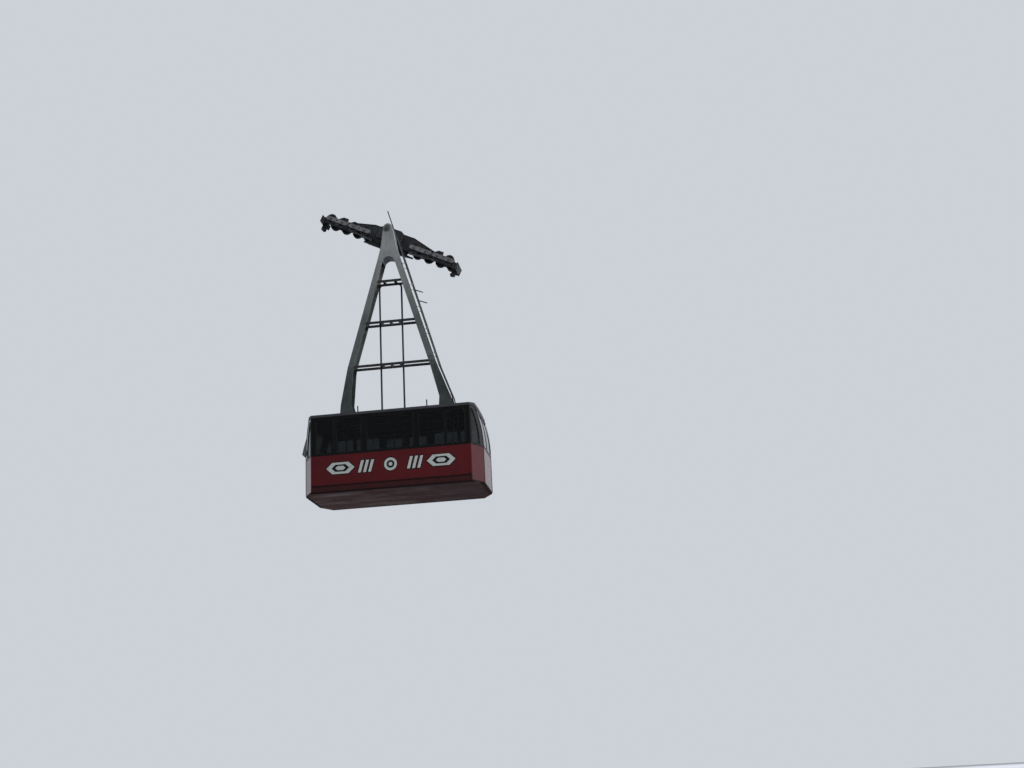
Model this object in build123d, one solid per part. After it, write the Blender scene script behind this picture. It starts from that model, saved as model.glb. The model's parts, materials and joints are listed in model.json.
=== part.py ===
from build123d import *
import os
from math import atan2, cos, degrees, hypot, radians, sin

# Aerial tramway cabin with its hanger and its carriage.
# Millimetres. The origin lies midway between the two lines that the wheels roll on, plumb below the
# hanger's pivot. +X runs downhill along the cabin, +Y points to the platform side with the doors, +Z is up.

# Slope, track and pivot
ROPE_SLOPE = 26.0
TRACK_GAUGE = 500
TRACK_ROPE_D = 45
HAUL_ROPE_D = 24
HAUL_ROPE_DROP = 95
PIVOT_RISE = 350
PIVOT_TO_ROOF = 5920
RUNNING_GAP = 0.08

# Cabin shell
CABIN_LENGTH = 5300
CABIN_WIDTH = 2400
CABIN_HEIGHT = 2350
WALL = 45
CORNER_X = 300
CORNER_Y = 500
END_RAKE = 170
RAKE_START = 1200
PAN_LIP = 60
DECK_TOP = 120
PAN_CHAMFER = 25
FASCIA = 90
ROOF_RIM = 60
ROOF_SKIN = 22
ROOF_CROWN = 70
BELT = 1100
SILL = 1165
HEAD = 2175
GLASS = 8
GLASS_SET = 12
SEAT_GAP = 0.3

# Windows of the long sides, outward from the doors' bay; the outermost takes what is left
DOOR_POST = 180
INNER_BAY = 740
POST = 80
SIDE_MARGIN = 150
END_WINDOW = 640
END_MULLION = 40
VENT_SILL = 1290
VENT_ANGLE = 9
VENT_RIM = 35
VENT_EDGE = 6
VENT_TOP = 4.4
VENT_PROUD = 2
CORNER_MARGIN = 60

# Doors in the middle bay of the platform side
DOOR_HALF = 680
DOOR_HEAD = 2150
DOOR_LAP = 40
DOOR_THICK = 36
DOOR_GAP = 10
DOOR_MEET = 3
DOOR_FRAME = 80
DOOR_SILL_GAP = 8
DOOR_TRAVEL = 660
DOOR_ABOVE = 20
RAIL_ABOVE = 25
RAIL_DEPTH = 14
RAIL_HEIGHT = 20
RAIL_OVER = 40
RAIL_BLOCK = 30
HOOK_HALF = 40
HOOK_PLATE = 8
HOOK_PLAY = 6
HOOK_TOP = 10

# Rub rail along the red panels
RUB_RAIL_Z = (205, 250)
RUB_RAIL_DEPTH = 22
RUB_RAIL_END = 40

# Roof hatch
HATCH_X = (480, 1120)
HATCH_HALF = 340
HATCH_CURB = 30
HATCH_LID = 40
HATCH_GAP = 6
HATCH_EDGE = 12

# Attendant's desk at the uphill end
DESK_Y = (180, 640)
DESK_DEPTH = 330
DESK_SIDE = 20
DESK_BACK_GAP = 20
DESK_FRONT_TOP = 1000
DESK_BACK_TOP = 1120
DESK_OVERHANG = 40

# Grab rails: posts along both edges of the aisle, tied by bars under the ceiling
GRAB_X = 1750
GRAB_Y = 560
GRAB_HEIGHT = 2050
GRAB_POST_R = 19
GRAB_BAR_R = 17
GRAB_TOP_GAP = 22

# Hanger: a flat frame beside the carriage, whose legs lean back below the knee to the roof's middle line
HANGER_MID = -630
HANGER_DEPTH = 430
HEAD_PLATE = 18
HEAD_SIDE = [(359, -1100), (228, -610), (140, 30)]
HEAD_TOP = 150
ARCH_RISE = 150
HUB_WALL = 43
HUB_PROUD = 25
SHAFT_R = 62
SHAFT_PAST = 30
CAP_OVER = 18
CAP_THICK = 20
CAP_GAP = 4
LEG_TOP = (-1100, 274, 170)
KNEE_RISE = 1425

# Right leg's sections below its straight length: rise above the foot's seat, middle X, middle Y, width
LEG_SECTIONS = [(1555, 1186, HANGER_MID, 172), (1425, 1228, -616, 178), (1295, 1265, -572, 186),
                (420, 1502, -186, 310), (0, 1515, 0, 470)]
FLANGE = 16
WEB = 12
BAR_DROPS = (1735, 3050)
BAR_HEIGHT = 80
BAR_THICK = 12
BAR_SPACING = 320
LINK_HALF = 35
LINK_RISE = 12
HOOP_HALF = 340
HOOP_R = 28
HOOP_BEND = 140
HOOP_FOOT = 60
HOOP_FOOT_RISE = 75
LADDER_OUT = 175
LADDER_FOOT = 1250
LADDER_RAIL_R = 17
LADDER_TOP = -130
STAND_OFFS = (0.03, 0.27, 0.5, 0.73, 0.96)
STAND_OFF_R = 7
SIGNAL_ROD_R = 16
SPIKE_TOP = 560
SPIKE_X = 16
RUNG_R = 11
RUNG_PITCH = 290
FOOT_RUNGS = 3
FOOT_RUNG_INSET = 30
FOOT_PLATE = 25
FOOT_PAD = (250, 270)
SIGNAL_RODS = [(-2140, -0.42, 240), (-2490, -0.42, 260)]
ROOF_POSTS = [(-1100, -550), (1000, -600)]
ROOF_POST = (18, 300)

# Carriage, measured down the slope from the pivot's foot and up from the track's centre line
BEAM_HALF_WIDTH = 120
BEAM_PLATE = 14
BEAM_TOP = 510
BEAM_TOP_HALF = 680
BEAM_END_TOP = 300
BEAM_BOTTOM = 30
BEAM_END_BOTTOM = 90
BEAM_PAST_PIN = 67
BRACKET_REACH = 380
BRACKET_HALF = 300
BRACKET_N = (100, 500)
CHEEK = [(430, 60), (430, 420), (300, 490)]
BRAKE_HALF = 420
BRAKE_ARM_N = (50, 90)
JAW_HALF = 62
JAW_OPEN = 38
JAW_ROOF = 45
JAW_DEPTH = 55
LUG_HALF = 18
LUG_DEPTH = 40
SOCKET_START = 640
SOCKET_END = 860
SOCKET_BORE = 160
SOCKET_PLAY = 0.5
SOCKET_R = (40, 24)

# Wheels, and the trucks and rockers that share out their load
TREAD_R = 140
GROOVE_DEPTH = 25
GROOVE_HALF = 30
GROOVE_FLOOR = 12
WHEEL_WIDTH = 90
WHEEL_GAP = 60
WHEEL_HUB = 30
WHEEL_HUB_OVER = 3
WHEEL_RIM = 22
WHEEL_WEB = 24
AXLE_R = 28
AXLE_PAST = 5
TRUCK_START = 695
TRUCK_GAP = 55
TRUCK_OVER = 10
TRUCK_PLATE = 14
TRUCK_HEIGHT = 140
TRUCK_PIN_R = 20
TIE_HALF = 20
TIE_RISE = (30, 66)
SIDE_GAP = 8
ROCKER_OUT = 30
ROCKER_PLATE = 25
ROCKER_DEPTH = 100
ROCKER_END = 60
ROCKER_PIN_R = 35
ROCKER_PIN_RISE = 38
ROCKER_PIN_PAST = 60
ROCKER_EYE = (80, 60)
STOP_LUG = (90, 320, 25, 380)

# Ends of the carriage
END_OUT = 110
END_PLATE = 30
END_PAST_ROPE = 75
END_N = (-40, 175)
ARM_START = 75
ARM_PLATE = 20
ARM_RISE = (-60, 25)
SHOE_LENGTH = 100
SHOE_HALF = 60
SHOE_N = (-45, 100)
SHOE_OPEN = 40
SHOE_ROOF = 45
ROLLER_IN = 90
ROLLER_DROP = 170
ROLLER_RIM = 62
ROLLER_TREAD = 46
ROLLER_WIDTH = 70
ROLLER_PIN_R = 14
EAR_HALF = 35
EAR_PLATE = 12
EAR_TOP = 60

# Worked out
PIVOT_Z = PIVOT_RISE
ROOF_Z = PIVOT_Z - PIVOT_TO_ROOF
BOTTOM_Z = ROOF_Z - CABIN_HEIGHT
WALL_TOP = CABIN_HEIGHT - FASCIA
HALF_LENGTH = CABIN_LENGTH / 2
HALF_WIDTH = CABIN_WIDTH / 2
SIDE_END = HALF_LENGTH - CORNER_X
END_EDGE = HALF_WIDTH - CORNER_Y
SLOPE = radians(ROPE_SLOPE)
PIVOT_N = PIVOT_Z * cos(SLOPE)
PIVOT_S = -PIVOT_Z * sin(SLOPE)
WHEEL_N = TRACK_ROPE_D / 2 + TREAD_R
WHEEL_R = TREAD_R + GROOVE_DEPTH
WHEEL_PITCH = 2 * WHEEL_R + WHEEL_GAP
TRUCK_HALF = WHEEL_PITCH / 2 + WHEEL_R + TRUCK_OVER
TRUCK_CENTRES = (TRUCK_START + TRUCK_HALF, TRUCK_START + 3 * TRUCK_HALF + TRUCK_GAP)
ROCKER_PIN = sum(TRUCK_CENTRES) / 2
ROCKER_PIN_N = WHEEL_N + ROCKER_PIN_RISE
BEAM_HALF = ROCKER_PIN + BEAM_PAST_PIN
END_REACH = TRUCK_CENTRES[1] + TRUCK_HALF + END_OUT
ROLLER_REACH = END_REACH - ROLLER_IN
ENDS = {"uphill": -1, "downhill": 1}
ROPE_SIDES = {"near": -1, "far": 1}
INNER_START = DOOR_HALF + DOOR_POST
OUTER_START = INNER_START + INNER_BAY + POST
RIGHT_BAYS = [(INNER_START, INNER_START + INNER_BAY), (OUTER_START, SIDE_END - SIDE_MARGIN)]
FAR_BAYS = [(-right, -left) for left, right in RIGHT_BAYS] + RIGHT_BAYS
SIDE_BAYS = FAR_BAYS + [(-DOOR_HALF, DOOR_HALF)]
FOOT_SEAT = ROOF_Z + ROOF_CROWN + FOOT_PLATE


def box(x_span, y_span, z_span):
    """Block between pairs of coordinates."""
    spans = (x_span, y_span, z_span)
    size = [high - low for low, high in spans]
    middle = [(high + low) / 2 for low, high in spans]
    return Pos(*middle) * Box(*size)


def plate_y(points, y_span):
    """Plate with an outline given in X and Z that fills a span of Y."""
    outline = Polyline([(x, y_span[0], z) for x, z in points], close=True)
    return extrude(make_face(outline), amount=y_span[1] - y_span[0], dir=(0, 1, 0))


def plate_z(points, z_span):
    """Plate with an outline given in X and Y that fills a span of Z."""
    outline = Polyline([(x, y, z_span[0]) for x, y in points], close=True)
    return extrude(make_face(outline), amount=z_span[1] - z_span[0], dir=(0, 0, 1))


def rod(start, end, radius):
    """Round bar between two points."""
    run = Vector(*end) - Vector(*start)
    return extrude(Plane(origin=start, z_dir=run) * Circle(radius), amount=run.length)


def tube(path, radius):
    """Round bar that follows a path, mitred at its corners."""
    section = Plane(origin=path @ 0, z_dir=path % 0) * Circle(radius)
    return sweep(section, path=path, transition=Transition.RIGHT)


def rod_y(x, z, y_span, radius):
    """Round bar along Y."""
    return rod((x, y_span[0], z), (x, y_span[1], z), radius)


def mirror_x(shape):
    return mirror(shape, about=Plane.YZ)


def mirror_y(shape):
    return mirror(shape, about=Plane.XZ)


def in_cabin(shape):
    """Set a piece drawn up from the cabin's bottom into place."""
    return Pos(0, 0, BOTTOM_Z) * shape


def on_rope(shape):
    """Set a piece drawn along the track, from the pivot's foot, into its sloping place."""
    return Rot(0, ROPE_SLOPE, 0) * Pos(PIVOT_S, 0, 0) * shape


def save(name, shape):
    """Write one node."""
    export_step(shape, f"parts/{name}.step")


def octagon(inset=0):
    """Plan of the cabin with its cut corners, moved inward by a wall's thickness."""
    long = HALF_LENGTH - inset
    wide = HALF_WIDTH - inset
    return [(-SIDE_END, -wide), (SIDE_END, -wide), (long, -END_EDGE), (long, END_EDGE),
            (SIDE_END, wide), (-SIDE_END, wide), (-long, END_EDGE), (-long, -END_EDGE)]


def end_profile(inset, z_span, end=1):
    """Everything inboard of one end wall's curved face, set in by a thickness."""
    foot = HALF_LENGTH - inset
    low, high = z_span
    outline = [Line((0, -HALF_WIDTH, low), (foot, -HALF_WIDTH, low)),
               Line((foot, -HALF_WIDTH, low), (foot, -HALF_WIDTH, RAKE_START)),
               TangentArc((foot, -HALF_WIDTH, RAKE_START), (foot - END_RAKE, -HALF_WIDTH, WALL_TOP),
                          tangent=(0, 0, 1)),
               Line((foot - END_RAKE, -HALF_WIDTH, WALL_TOP), (foot - END_RAKE, -HALF_WIDTH, high)),
               Line((foot - END_RAKE, -HALF_WIDTH, high), (0, -HALF_WIDTH, high)),
               Line((0, -HALF_WIDTH, high), (0, -HALF_WIDTH, low))]
    solid = extrude(Face(Wire(outline)), amount=CABIN_WIDTH, dir=(0, 1, 0))
    return solid if end > 0 else mirror_x(solid)


def end_skin(near_face, far_face, z_span):
    """Curved sheet of the downhill end between two insets."""
    tall = (0, CABIN_HEIGHT)
    sheet = end_profile(near_face, tall) - end_profile(far_face, tall)
    keep = box((SIDE_END - END_RAKE, HALF_LENGTH + 1), (-HALF_WIDTH, HALF_WIDTH), z_span)
    return sheet & keep


# Cabin floor: the pan with its chamfered underside and the deck that the walls stand round
def floor_pan():
    pan = plate_z(octagon(), (0, PAN_LIP))
    pan = chamfer(pan.faces().sort_by(Axis.Z)[0].edges(), PAN_CHAMFER)
    deck = plate_z(octagon(WALL), (PAN_LIP, DECK_TOP))
    return pan + deck


# Roof: a crowned tray with a rim, and a framed hole for the hatch
def crown():
    """Everything between the walls' top and the roof's curved surface."""
    top = CABIN_HEIGHT + ROOF_CROWN
    rise = Face(Wire([Line((0, -HALF_WIDTH, WALL_TOP), (0, HALF_WIDTH, WALL_TOP)),
                      Line((0, HALF_WIDTH, WALL_TOP), (0, HALF_WIDTH, CABIN_HEIGHT)),
                      ThreePointArc((0, HALF_WIDTH, CABIN_HEIGHT), (0, 0, top),
                                    (0, -HALF_WIDTH, CABIN_HEIGHT)),
                      Line((0, -HALF_WIDTH, CABIN_HEIGHT), (0, -HALF_WIDTH, WALL_TOP))]))
    return Pos(-HALF_LENGTH, 0, 0) * extrude(rise, amount=CABIN_LENGTH, dir=(1, 0, 0))


def above_roof(shape):
    """Trim what stands on the roof to the roof's surface."""
    return shape - in_cabin(crown())


def roof_shell():
    top = CABIN_HEIGHT + ROOF_CROWN
    reach = HALF_LENGTH - END_RAKE
    trimmed = crown() & box((-reach, reach), (-HALF_WIDTH, HALF_WIDTH), (0, top + 1))
    shell = trimmed & plate_z(octagon(), (0, top + 1))
    inner = reach - ROOF_RIM
    hollow = Pos(0, 0, -ROOF_SKIN) * crown()
    hollow = hollow & box((-inner, inner), (-HALF_WIDTH, HALF_WIDTH), (0, top + 1))
    hollow = hollow & plate_z(octagon(ROOF_RIM), (0, top + 1))
    shell = shell - hollow
    left, right = HATCH_X
    curb_top = top + HATCH_CURB
    curb = box((left - HATCH_CURB, right + HATCH_CURB), (-HATCH_HALF - HATCH_CURB, HATCH_HALF + HATCH_CURB),
               (top - 3 * ROOF_SKIN, curb_top))
    hole = box((left, right), (-HATCH_HALF, HATCH_HALF), (WALL_TOP, curb_top + 1))
    return shell + curb - hole


def roof_hatch():
    top = CABIN_HEIGHT + ROOF_CROWN + HATCH_CURB
    left, right = HATCH_X
    over = HATCH_CURB + HATCH_GAP + HATCH_EDGE
    inside = HATCH_CURB + HATCH_GAP
    lid = box((left - over, right + over), (-HATCH_HALF - over, HATCH_HALF + over),
              (top - HATCH_CURB / 2, top + HATCH_LID))
    recess = box((left - inside, right + inside), (-HATCH_HALF - inside, HATCH_HALF + inside),
                 (top - HATCH_CURB, top + SEAT_GAP))
    return lid - recess


# Walls
def side_wall(bays):
    """Long wall of the near side with its window bays cut."""
    wall = box((-SIDE_END, SIDE_END), (-HALF_WIDTH, -HALF_WIDTH + WALL), (PAN_LIP, WALL_TOP))
    for left, right in bays:
        wall -= box((left, right), (-HALF_WIDTH - 1, -HALF_WIDTH + WALL + 1), (SILL, HEAD))
    return wall


def far_side():
    doorway = box((-DOOR_HALF, DOOR_HALF), (HALF_WIDTH - WALL - 1, HALF_WIDTH + 1), (DECK_TOP, DOOR_HEAD))
    return mirror_y(side_wall(FAR_BAYS)) - doorway


def corner_band():
    """Strip of plan behind the near downhill facet."""
    return [(SIDE_END, -HALF_WIDTH), (HALF_LENGTH, -END_EDGE), (HALF_LENGTH - WALL, -END_EDGE),
            (SIDE_END, -HALF_WIDTH + WALL)]


def corner_window():
    """Cutter through the near downhill facet."""
    angle = degrees(atan2(CORNER_Y, CORNER_X))
    length = hypot(CORNER_X, CORNER_Y)
    cutter = box((CORNER_MARGIN, length - CORNER_MARGIN), (-WALL, 2 * WALL), (SILL, HEAD))
    cutter = Pos(SIDE_END, -HALF_WIDTH, 0) * Rot(0, 0, angle) * cutter
    return cutter & end_profile(1.5 * CORNER_MARGIN, (0, CABIN_HEIGHT))


def corner_panel():
    panel = plate_z(corner_band(), (PAN_LIP, WALL_TOP)) & end_profile(0, (0, CABIN_HEIGHT))
    return panel - corner_window()


def end_panel(bays):
    """Downhill end wall with its window bays, given across the end."""
    region = [(HALF_LENGTH, -END_EDGE), (HALF_LENGTH - WALL, -END_EDGE), (SIDE_END, -HALF_WIDTH + WALL),
              (SIDE_END - END_RAKE, -HALF_WIDTH + WALL), (SIDE_END - END_RAKE, HALF_WIDTH - WALL),
              (SIDE_END, HALF_WIDTH - WALL), (HALF_LENGTH - WALL, END_EDGE), (HALF_LENGTH, END_EDGE)]
    panel = end_skin(0, WALL, (PAN_LIP, WALL_TOP)) & plate_z(region, (PAN_LIP, WALL_TOP))
    for left, right, low, high in bays:
        panel -= box((SIDE_END - END_RAKE, HALF_LENGTH + 1), (left, right), (low, high))
    return panel


DOWNHILL_BAYS = [(-END_WINDOW, -END_MULLION / 2, SILL, HEAD), (END_MULLION / 2, END_WINDOW, SILL, HEAD)]
VENT_BAY = (-END_WINDOW, -END_MULLION / 2, VENT_SILL, HEAD)
UPHILL_BAYS = [VENT_BAY, (END_MULLION / 2, END_WINDOW, SILL, HEAD)]


# Glass: panes set into the walls' thickness
def side_glass(bays):
    front = -HALF_WIDTH + GLASS_SET
    panes = Part()
    for left, right in bays:
        panes += box((left + SEAT_GAP, right - SEAT_GAP), (front, front + GLASS),
                     (SILL + SEAT_GAP, HEAD - SEAT_GAP))
    return panes


def end_glass(bays):
    sheet = end_skin(GLASS_SET, GLASS_SET + GLASS, (SILL, HEAD))
    panes = Part()
    for left, right, low, high in bays:
        panes += sheet & box((0, HALF_LENGTH), (left + SEAT_GAP, right - SEAT_GAP),
                             (low + SEAT_GAP, high - SEAT_GAP))
    return panes


def corner_glass():
    """One pane in the near downhill facet."""
    angle = degrees(atan2(CORNER_Y, CORNER_X))
    length = hypot(CORNER_X, CORNER_Y)
    pane = box((0, length), (GLASS_SET, GLASS_SET + GLASS), (SILL + SEAT_GAP, HEAD - SEAT_GAP))
    pane = Pos(SIDE_END, -HALF_WIDTH, 0) * Rot(0, 0, angle) * pane
    return pane & corner_window()


def vent_window():
    """Top-hung pane of the uphill end, standing open about its upper edge."""
    left, right, low, high = VENT_BAY
    edge = VENT_EDGE
    opening = box((0, HALF_LENGTH), (left + edge, right - edge), (low + edge, high - VENT_TOP))
    pane = end_skin(GLASS_SET, GLASS_SET + GLASS, (low, high)) & opening
    rim = end_skin(VENT_PROUD, GLASS_SET, (low, high)) & opening
    rim -= box((0, HALF_LENGTH), (left + VENT_RIM, right - VENT_RIM), (low + VENT_RIM, high - VENT_RIM))
    leaf = mirror_x(pane + rim)
    hinge_x = -(HALF_LENGTH - END_RAKE)
    leaf = Pos(-hinge_x, 0, -high) * leaf
    return Pos(hinge_x - VENT_PROUD, 0, high) * Rot(0, VENT_ANGLE, 0) * leaf


# Doors: two leaves behind the platform side, hung from one rail
DOOR_Y = (HALF_WIDTH - WALL - DOOR_GAP - DOOR_THICK, HALF_WIDTH - WALL - DOOR_GAP)
DOOR_Z = (DECK_TOP + DOOR_SILL_GAP, DOOR_HEAD + DOOR_ABOVE)
RAIL_Z = (DOOR_Z[1] + RAIL_ABOVE, DOOR_Z[1] + RAIL_ABOVE + RAIL_HEIGHT)
RAIL_Y = (DOOR_Y[1] - RAIL_DEPTH, DOOR_Y[1])
DOOR_X = (DOOR_MEET, DOOR_HALF + DOOR_LAP)
HOOK_PLACES = (0.18, 0.82)


def door_window(inset):
    return box((DOOR_X[0] + DOOR_FRAME + inset, DOOR_X[1] - DOOR_FRAME - inset), (0, CABIN_WIDTH),
               (SILL + inset, DOOR_Z[1] - DOOR_FRAME - inset))


def door_leaf():
    """Leaf on the +X side of the doorway, with its two rail hooks."""
    leaf = box(DOOR_X, DOOR_Y, DOOR_Z) - door_window(0)
    front = RAIL_Y[0] - HOOK_PLAY - HOOK_PLATE
    top = RAIL_Z[1] + SEAT_GAP
    for share in HOOK_PLACES:
        x = DOOR_X[0] + share * (DOOR_X[1] - DOOR_X[0])
        span = (x - HOOK_HALF, x + HOOK_HALF)
        leaf += box(span, (front, front + HOOK_PLATE), (DOOR_Z[1] - HOOK_TOP, top + HOOK_TOP))
        leaf += box(span, (front, RAIL_Y[1] - HOOK_PLAY), (top, top + HOOK_TOP))
    return leaf


def door_glass():
    middle = (DOOR_Y[0] + DOOR_Y[1]) / 2
    pane = box(DOOR_X, (middle - GLASS / 2, middle + GLASS / 2), DOOR_Z)
    return pane & door_window(SEAT_GAP)


def door_rail():
    reach = DOOR_X[1] + DOOR_TRAVEL + RAIL_OVER
    rail = box((-reach, reach), RAIL_Y, RAIL_Z)
    end = reach - RAIL_BLOCK
    for x in (-end, -DOOR_HALF, 0, DOOR_HALF, end):
        rail += box((x - RAIL_BLOCK, x + RAIL_BLOCK), (RAIL_Y[1], HALF_WIDTH - WALL), RAIL_Z)
    return rail


# Rub rails
def rub_rails():
    """One rail along each side, broken at the doorway."""
    end = SIDE_END - RUB_RAIL_END
    near = box((-end, end), (-HALF_WIDTH - RUB_RAIL_DEPTH, -HALF_WIDTH), RUB_RAIL_Z)
    far = box((DOOR_HALF + RUB_RAIL_END, end), (HALF_WIDTH, HALF_WIDTH + RUB_RAIL_DEPTH), RUB_RAIL_Z)
    return near + far + mirror_x(far)


# Inside
def grab_rails():
    """Posts along both edges of the aisle and the bars between them."""
    ceiling = CABIN_HEIGHT + ROOF_CROWN - ROOF_SKIN - GRAB_TOP_GAP
    inset = GRAB_POST_R + SEAT_GAP
    rails = Part()
    for y in (-GRAB_Y, GRAB_Y):
        for x in (-GRAB_X, 0, GRAB_X):
            rails += rod((x, y, DECK_TOP), (x, y, ceiling), GRAB_POST_R)
        for x in (-GRAB_X, 0):
            rails += rod((x + inset, y, GRAB_HEIGHT), (x + GRAB_X - inset, y, GRAB_HEIGHT), GRAB_BAR_R)
    for x in (-GRAB_X, GRAB_X):
        rails += rod((x, inset - GRAB_Y, GRAB_HEIGHT), (x, GRAB_Y - inset, GRAB_HEIGHT), GRAB_BAR_R)
    return rails


def control_desk():
    """Attendant's desk: an open-backed box with a sloping top."""
    back = -HALF_LENGTH + WALL + DESK_BACK_GAP
    front = back + DESK_DEPTH
    lip = front + DESK_OVERHANG
    side = DESK_SIDE
    outer = [(back, DECK_TOP), (front, DECK_TOP), (lip, DESK_FRONT_TOP), (back, DESK_BACK_TOP)]
    hollow = [(back - 1, DECK_TOP - 1), (front - side, DECK_TOP - 1), (lip - side, DESK_FRONT_TOP - side),
              (back - 1, DESK_BACK_TOP - side)]
    return plate_y(outer, DESK_Y) - plate_y(hollow, (DESK_Y[0] + side, DESK_Y[1] - side))


# Hanger
HEAD_Y = (HANGER_MID - HANGER_DEPTH / 2, HANGER_MID + HANGER_DEPTH / 2)
TOP_DROP, TOP_X, TOP_WIDTH = LEG_TOP


def xz_sketch(edges):
    """Flat face in the plane Y = 0 from edges given in X and Z."""
    return Face(Wire(edges))


def head_face(inset=0):
    """Front outline of the hanger's head; drops are measured from the pivot."""
    points = [(x - inset, PIVOT_Z + drop) for x, drop in HEAD_SIDE]
    crotch = TOP_X - TOP_WIDTH / 2 + inset
    low = PIVOT_Z + TOP_DROP
    arch = low + ARCH_RISE + inset
    top = PIVOT_Z + HEAD_TOP - inset
    right = [(x, 0, z) for x, z in points]
    left = [(-x, 0, z) for x, z in points]
    return xz_sketch([Line((crotch, 0, low), right[0]), Line(right[0], right[1]), Line(right[1], right[2]),
                      ThreePointArc(right[2], (0, 0, top), left[2]),
                      Line(left[2], left[1]), Line(left[1], left[0]), Line(left[0], (-crotch, 0, low)),
                      ThreePointArc((-crotch, 0, low), (0, 0, arch), (crotch, 0, low))])


def along_y(face, y_span):
    """Carry a face drawn at Y = 0 through a span of Y."""
    return Pos(0, y_span[0], 0) * extrude(face, amount=y_span[1] - y_span[0], dir=(0, 1, 0))


def hanger_head():
    """Welded box of two shaped plates and their rim, with the pivot's hub through it."""
    front, back = HEAD_Y
    head = along_y(head_face(), HEAD_Y)
    head -= along_y(head_face(HEAD_PLATE), (front + HEAD_PLATE, back - HEAD_PLATE))
    hub = rod_y(0, PIVOT_Z, (front - HUB_PROUD, back + HUB_PROUD), SHAFT_R + HUB_WALL)
    bore = rod_y(0, PIVOT_Z, (front - 2 * HUB_PROUD, back + 2 * HUB_PROUD), SHAFT_R + RUNNING_GAP)
    return head + hub - bore


def pivot_shaft():
    """Shaft from the main beam through the hub, with its end cap."""
    front = HEAD_Y[0] - HUB_PROUD - CAP_GAP
    shaft = rod_y(0, PIVOT_Z, (front - 1, BEAM_HALF_WIDTH + SHAFT_PAST), SHAFT_R)
    return shaft + rod_y(0, PIVOT_Z, (front - CAP_THICK, front), SHAFT_R + CAP_OVER)


def leg_stations():
    """Right leg's sections from the head down: height, middle X, middle Y, width."""
    top = [(PIVOT_Z + TOP_DROP, TOP_X, HANGER_MID, TOP_WIDTH)]
    return top + [(FOOT_SEAT + rise, x, y, width) for rise, x, y, width in LEG_SECTIONS]


def leg_at(z):
    """Middle X, middle Y and width of the right leg at a height."""
    stations = leg_stations()
    for above, below in zip(stations, stations[1:]):
        if z >= below[0]:
            break
    share = (above[0] - z) / (above[0] - below[0])
    return [high + share * (low - high) for high, low in zip(above[1:], below[1:])]


def leg_plate(y_part, thick=None):
    """Plate through all sections between two depths, as wide as the leg unless a thickness is given."""
    front, back = y_part
    sections = []
    for z, x, y, width in leg_stations():
        sections.append(Pos(x, y + (front + back) / 2, z) * Rectangle(thick or width, back - front))
    return loft(sections, ruled=True)


def leg():
    """Right leg: front and back flanges with a web between them, bent back at the knee."""
    half = HANGER_DEPTH / 2
    front = leg_plate((-half, FLANGE - half))
    back = leg_plate((half - FLANGE, half))
    return front + back + leg_plate((FLANGE - half, half - FLANGE), WEB)


def cross_bars():
    """Three pairs of flat bars between the legs' webs, with short links that steady the hoop."""
    bars = Part()
    heights = [PIVOT_Z - drop for drop in BAR_DROPS] + [FOOT_SEAT + KNEE_RISE]
    inner = BAR_SPACING / 2 - BAR_THICK / 2 - SEAT_GAP
    beside = HOOP_HALF - HOOP_R - SEAT_GAP - LINK_HALF
    for z in heights:
        low = z - BAR_HEIGHT / 2
        high = z + BAR_HEIGHT / 2
        wide = leg_at(low)[0] - WEB / 2
        narrow = leg_at(high)[0] - WEB / 2
        outline = [(-wide, low), (wide, low), (narrow, high), (-narrow, high)]
        for side in (-1, 1):
            y = HANGER_MID + side * BAR_SPACING / 2
            bars += plate_y(outline, (y - BAR_THICK / 2, y + BAR_THICK / 2))
        places = (-beside, 0, beside) if narrow > 2 * HOOP_HALF else (-HOOP_HALF / 2, HOOP_HALF / 2)
        for x in places:
            bars += box((x - LINK_HALF, x + LINK_HALF), (HANGER_MID - inner, HANGER_MID + inner),
                        (low + LINK_RISE, high - LINK_RISE))
    return bars


def service_hoop():
    """Inverted U of tube from the roof, beside the lower bars' links, to under the first bars."""
    top = PIVOT_Z - BAR_DROPS[0] - BAR_HEIGHT / 2 + LINK_RISE - HOOP_R - SEAT_GAP
    low = ROOF_Z - ROOF_CROWN
    path = FilletPolyline((-HOOP_HALF, HANGER_MID, low), (-HOOP_HALF, HANGER_MID, top),
                          (HOOP_HALF, HANGER_MID, top), (HOOP_HALF, HANGER_MID, low), radius=HOOP_BEND)
    hoop = tube(path, HOOP_R)
    for x in (-HOOP_HALF, HOOP_HALF):
        hoop += box((x - HOOP_FOOT, x + HOOP_FOOT), (HANGER_MID - HOOP_FOOT, HANGER_MID + HOOP_FOOT),
                    (low, ROOF_Z + HOOP_FOOT_RISE))
    return above_roof(hoop)


def ladder_x(z):
    """Middle of the ladder's rails at a height."""
    foot = FOOT_SEAT + LADDER_FOOT
    top = PIVOT_Z + SPIKE_TOP
    run = leg_at(foot)[0] + LADDER_OUT - SPIKE_X
    return SPIKE_X + run * (top - z) / (top - foot)


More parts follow.
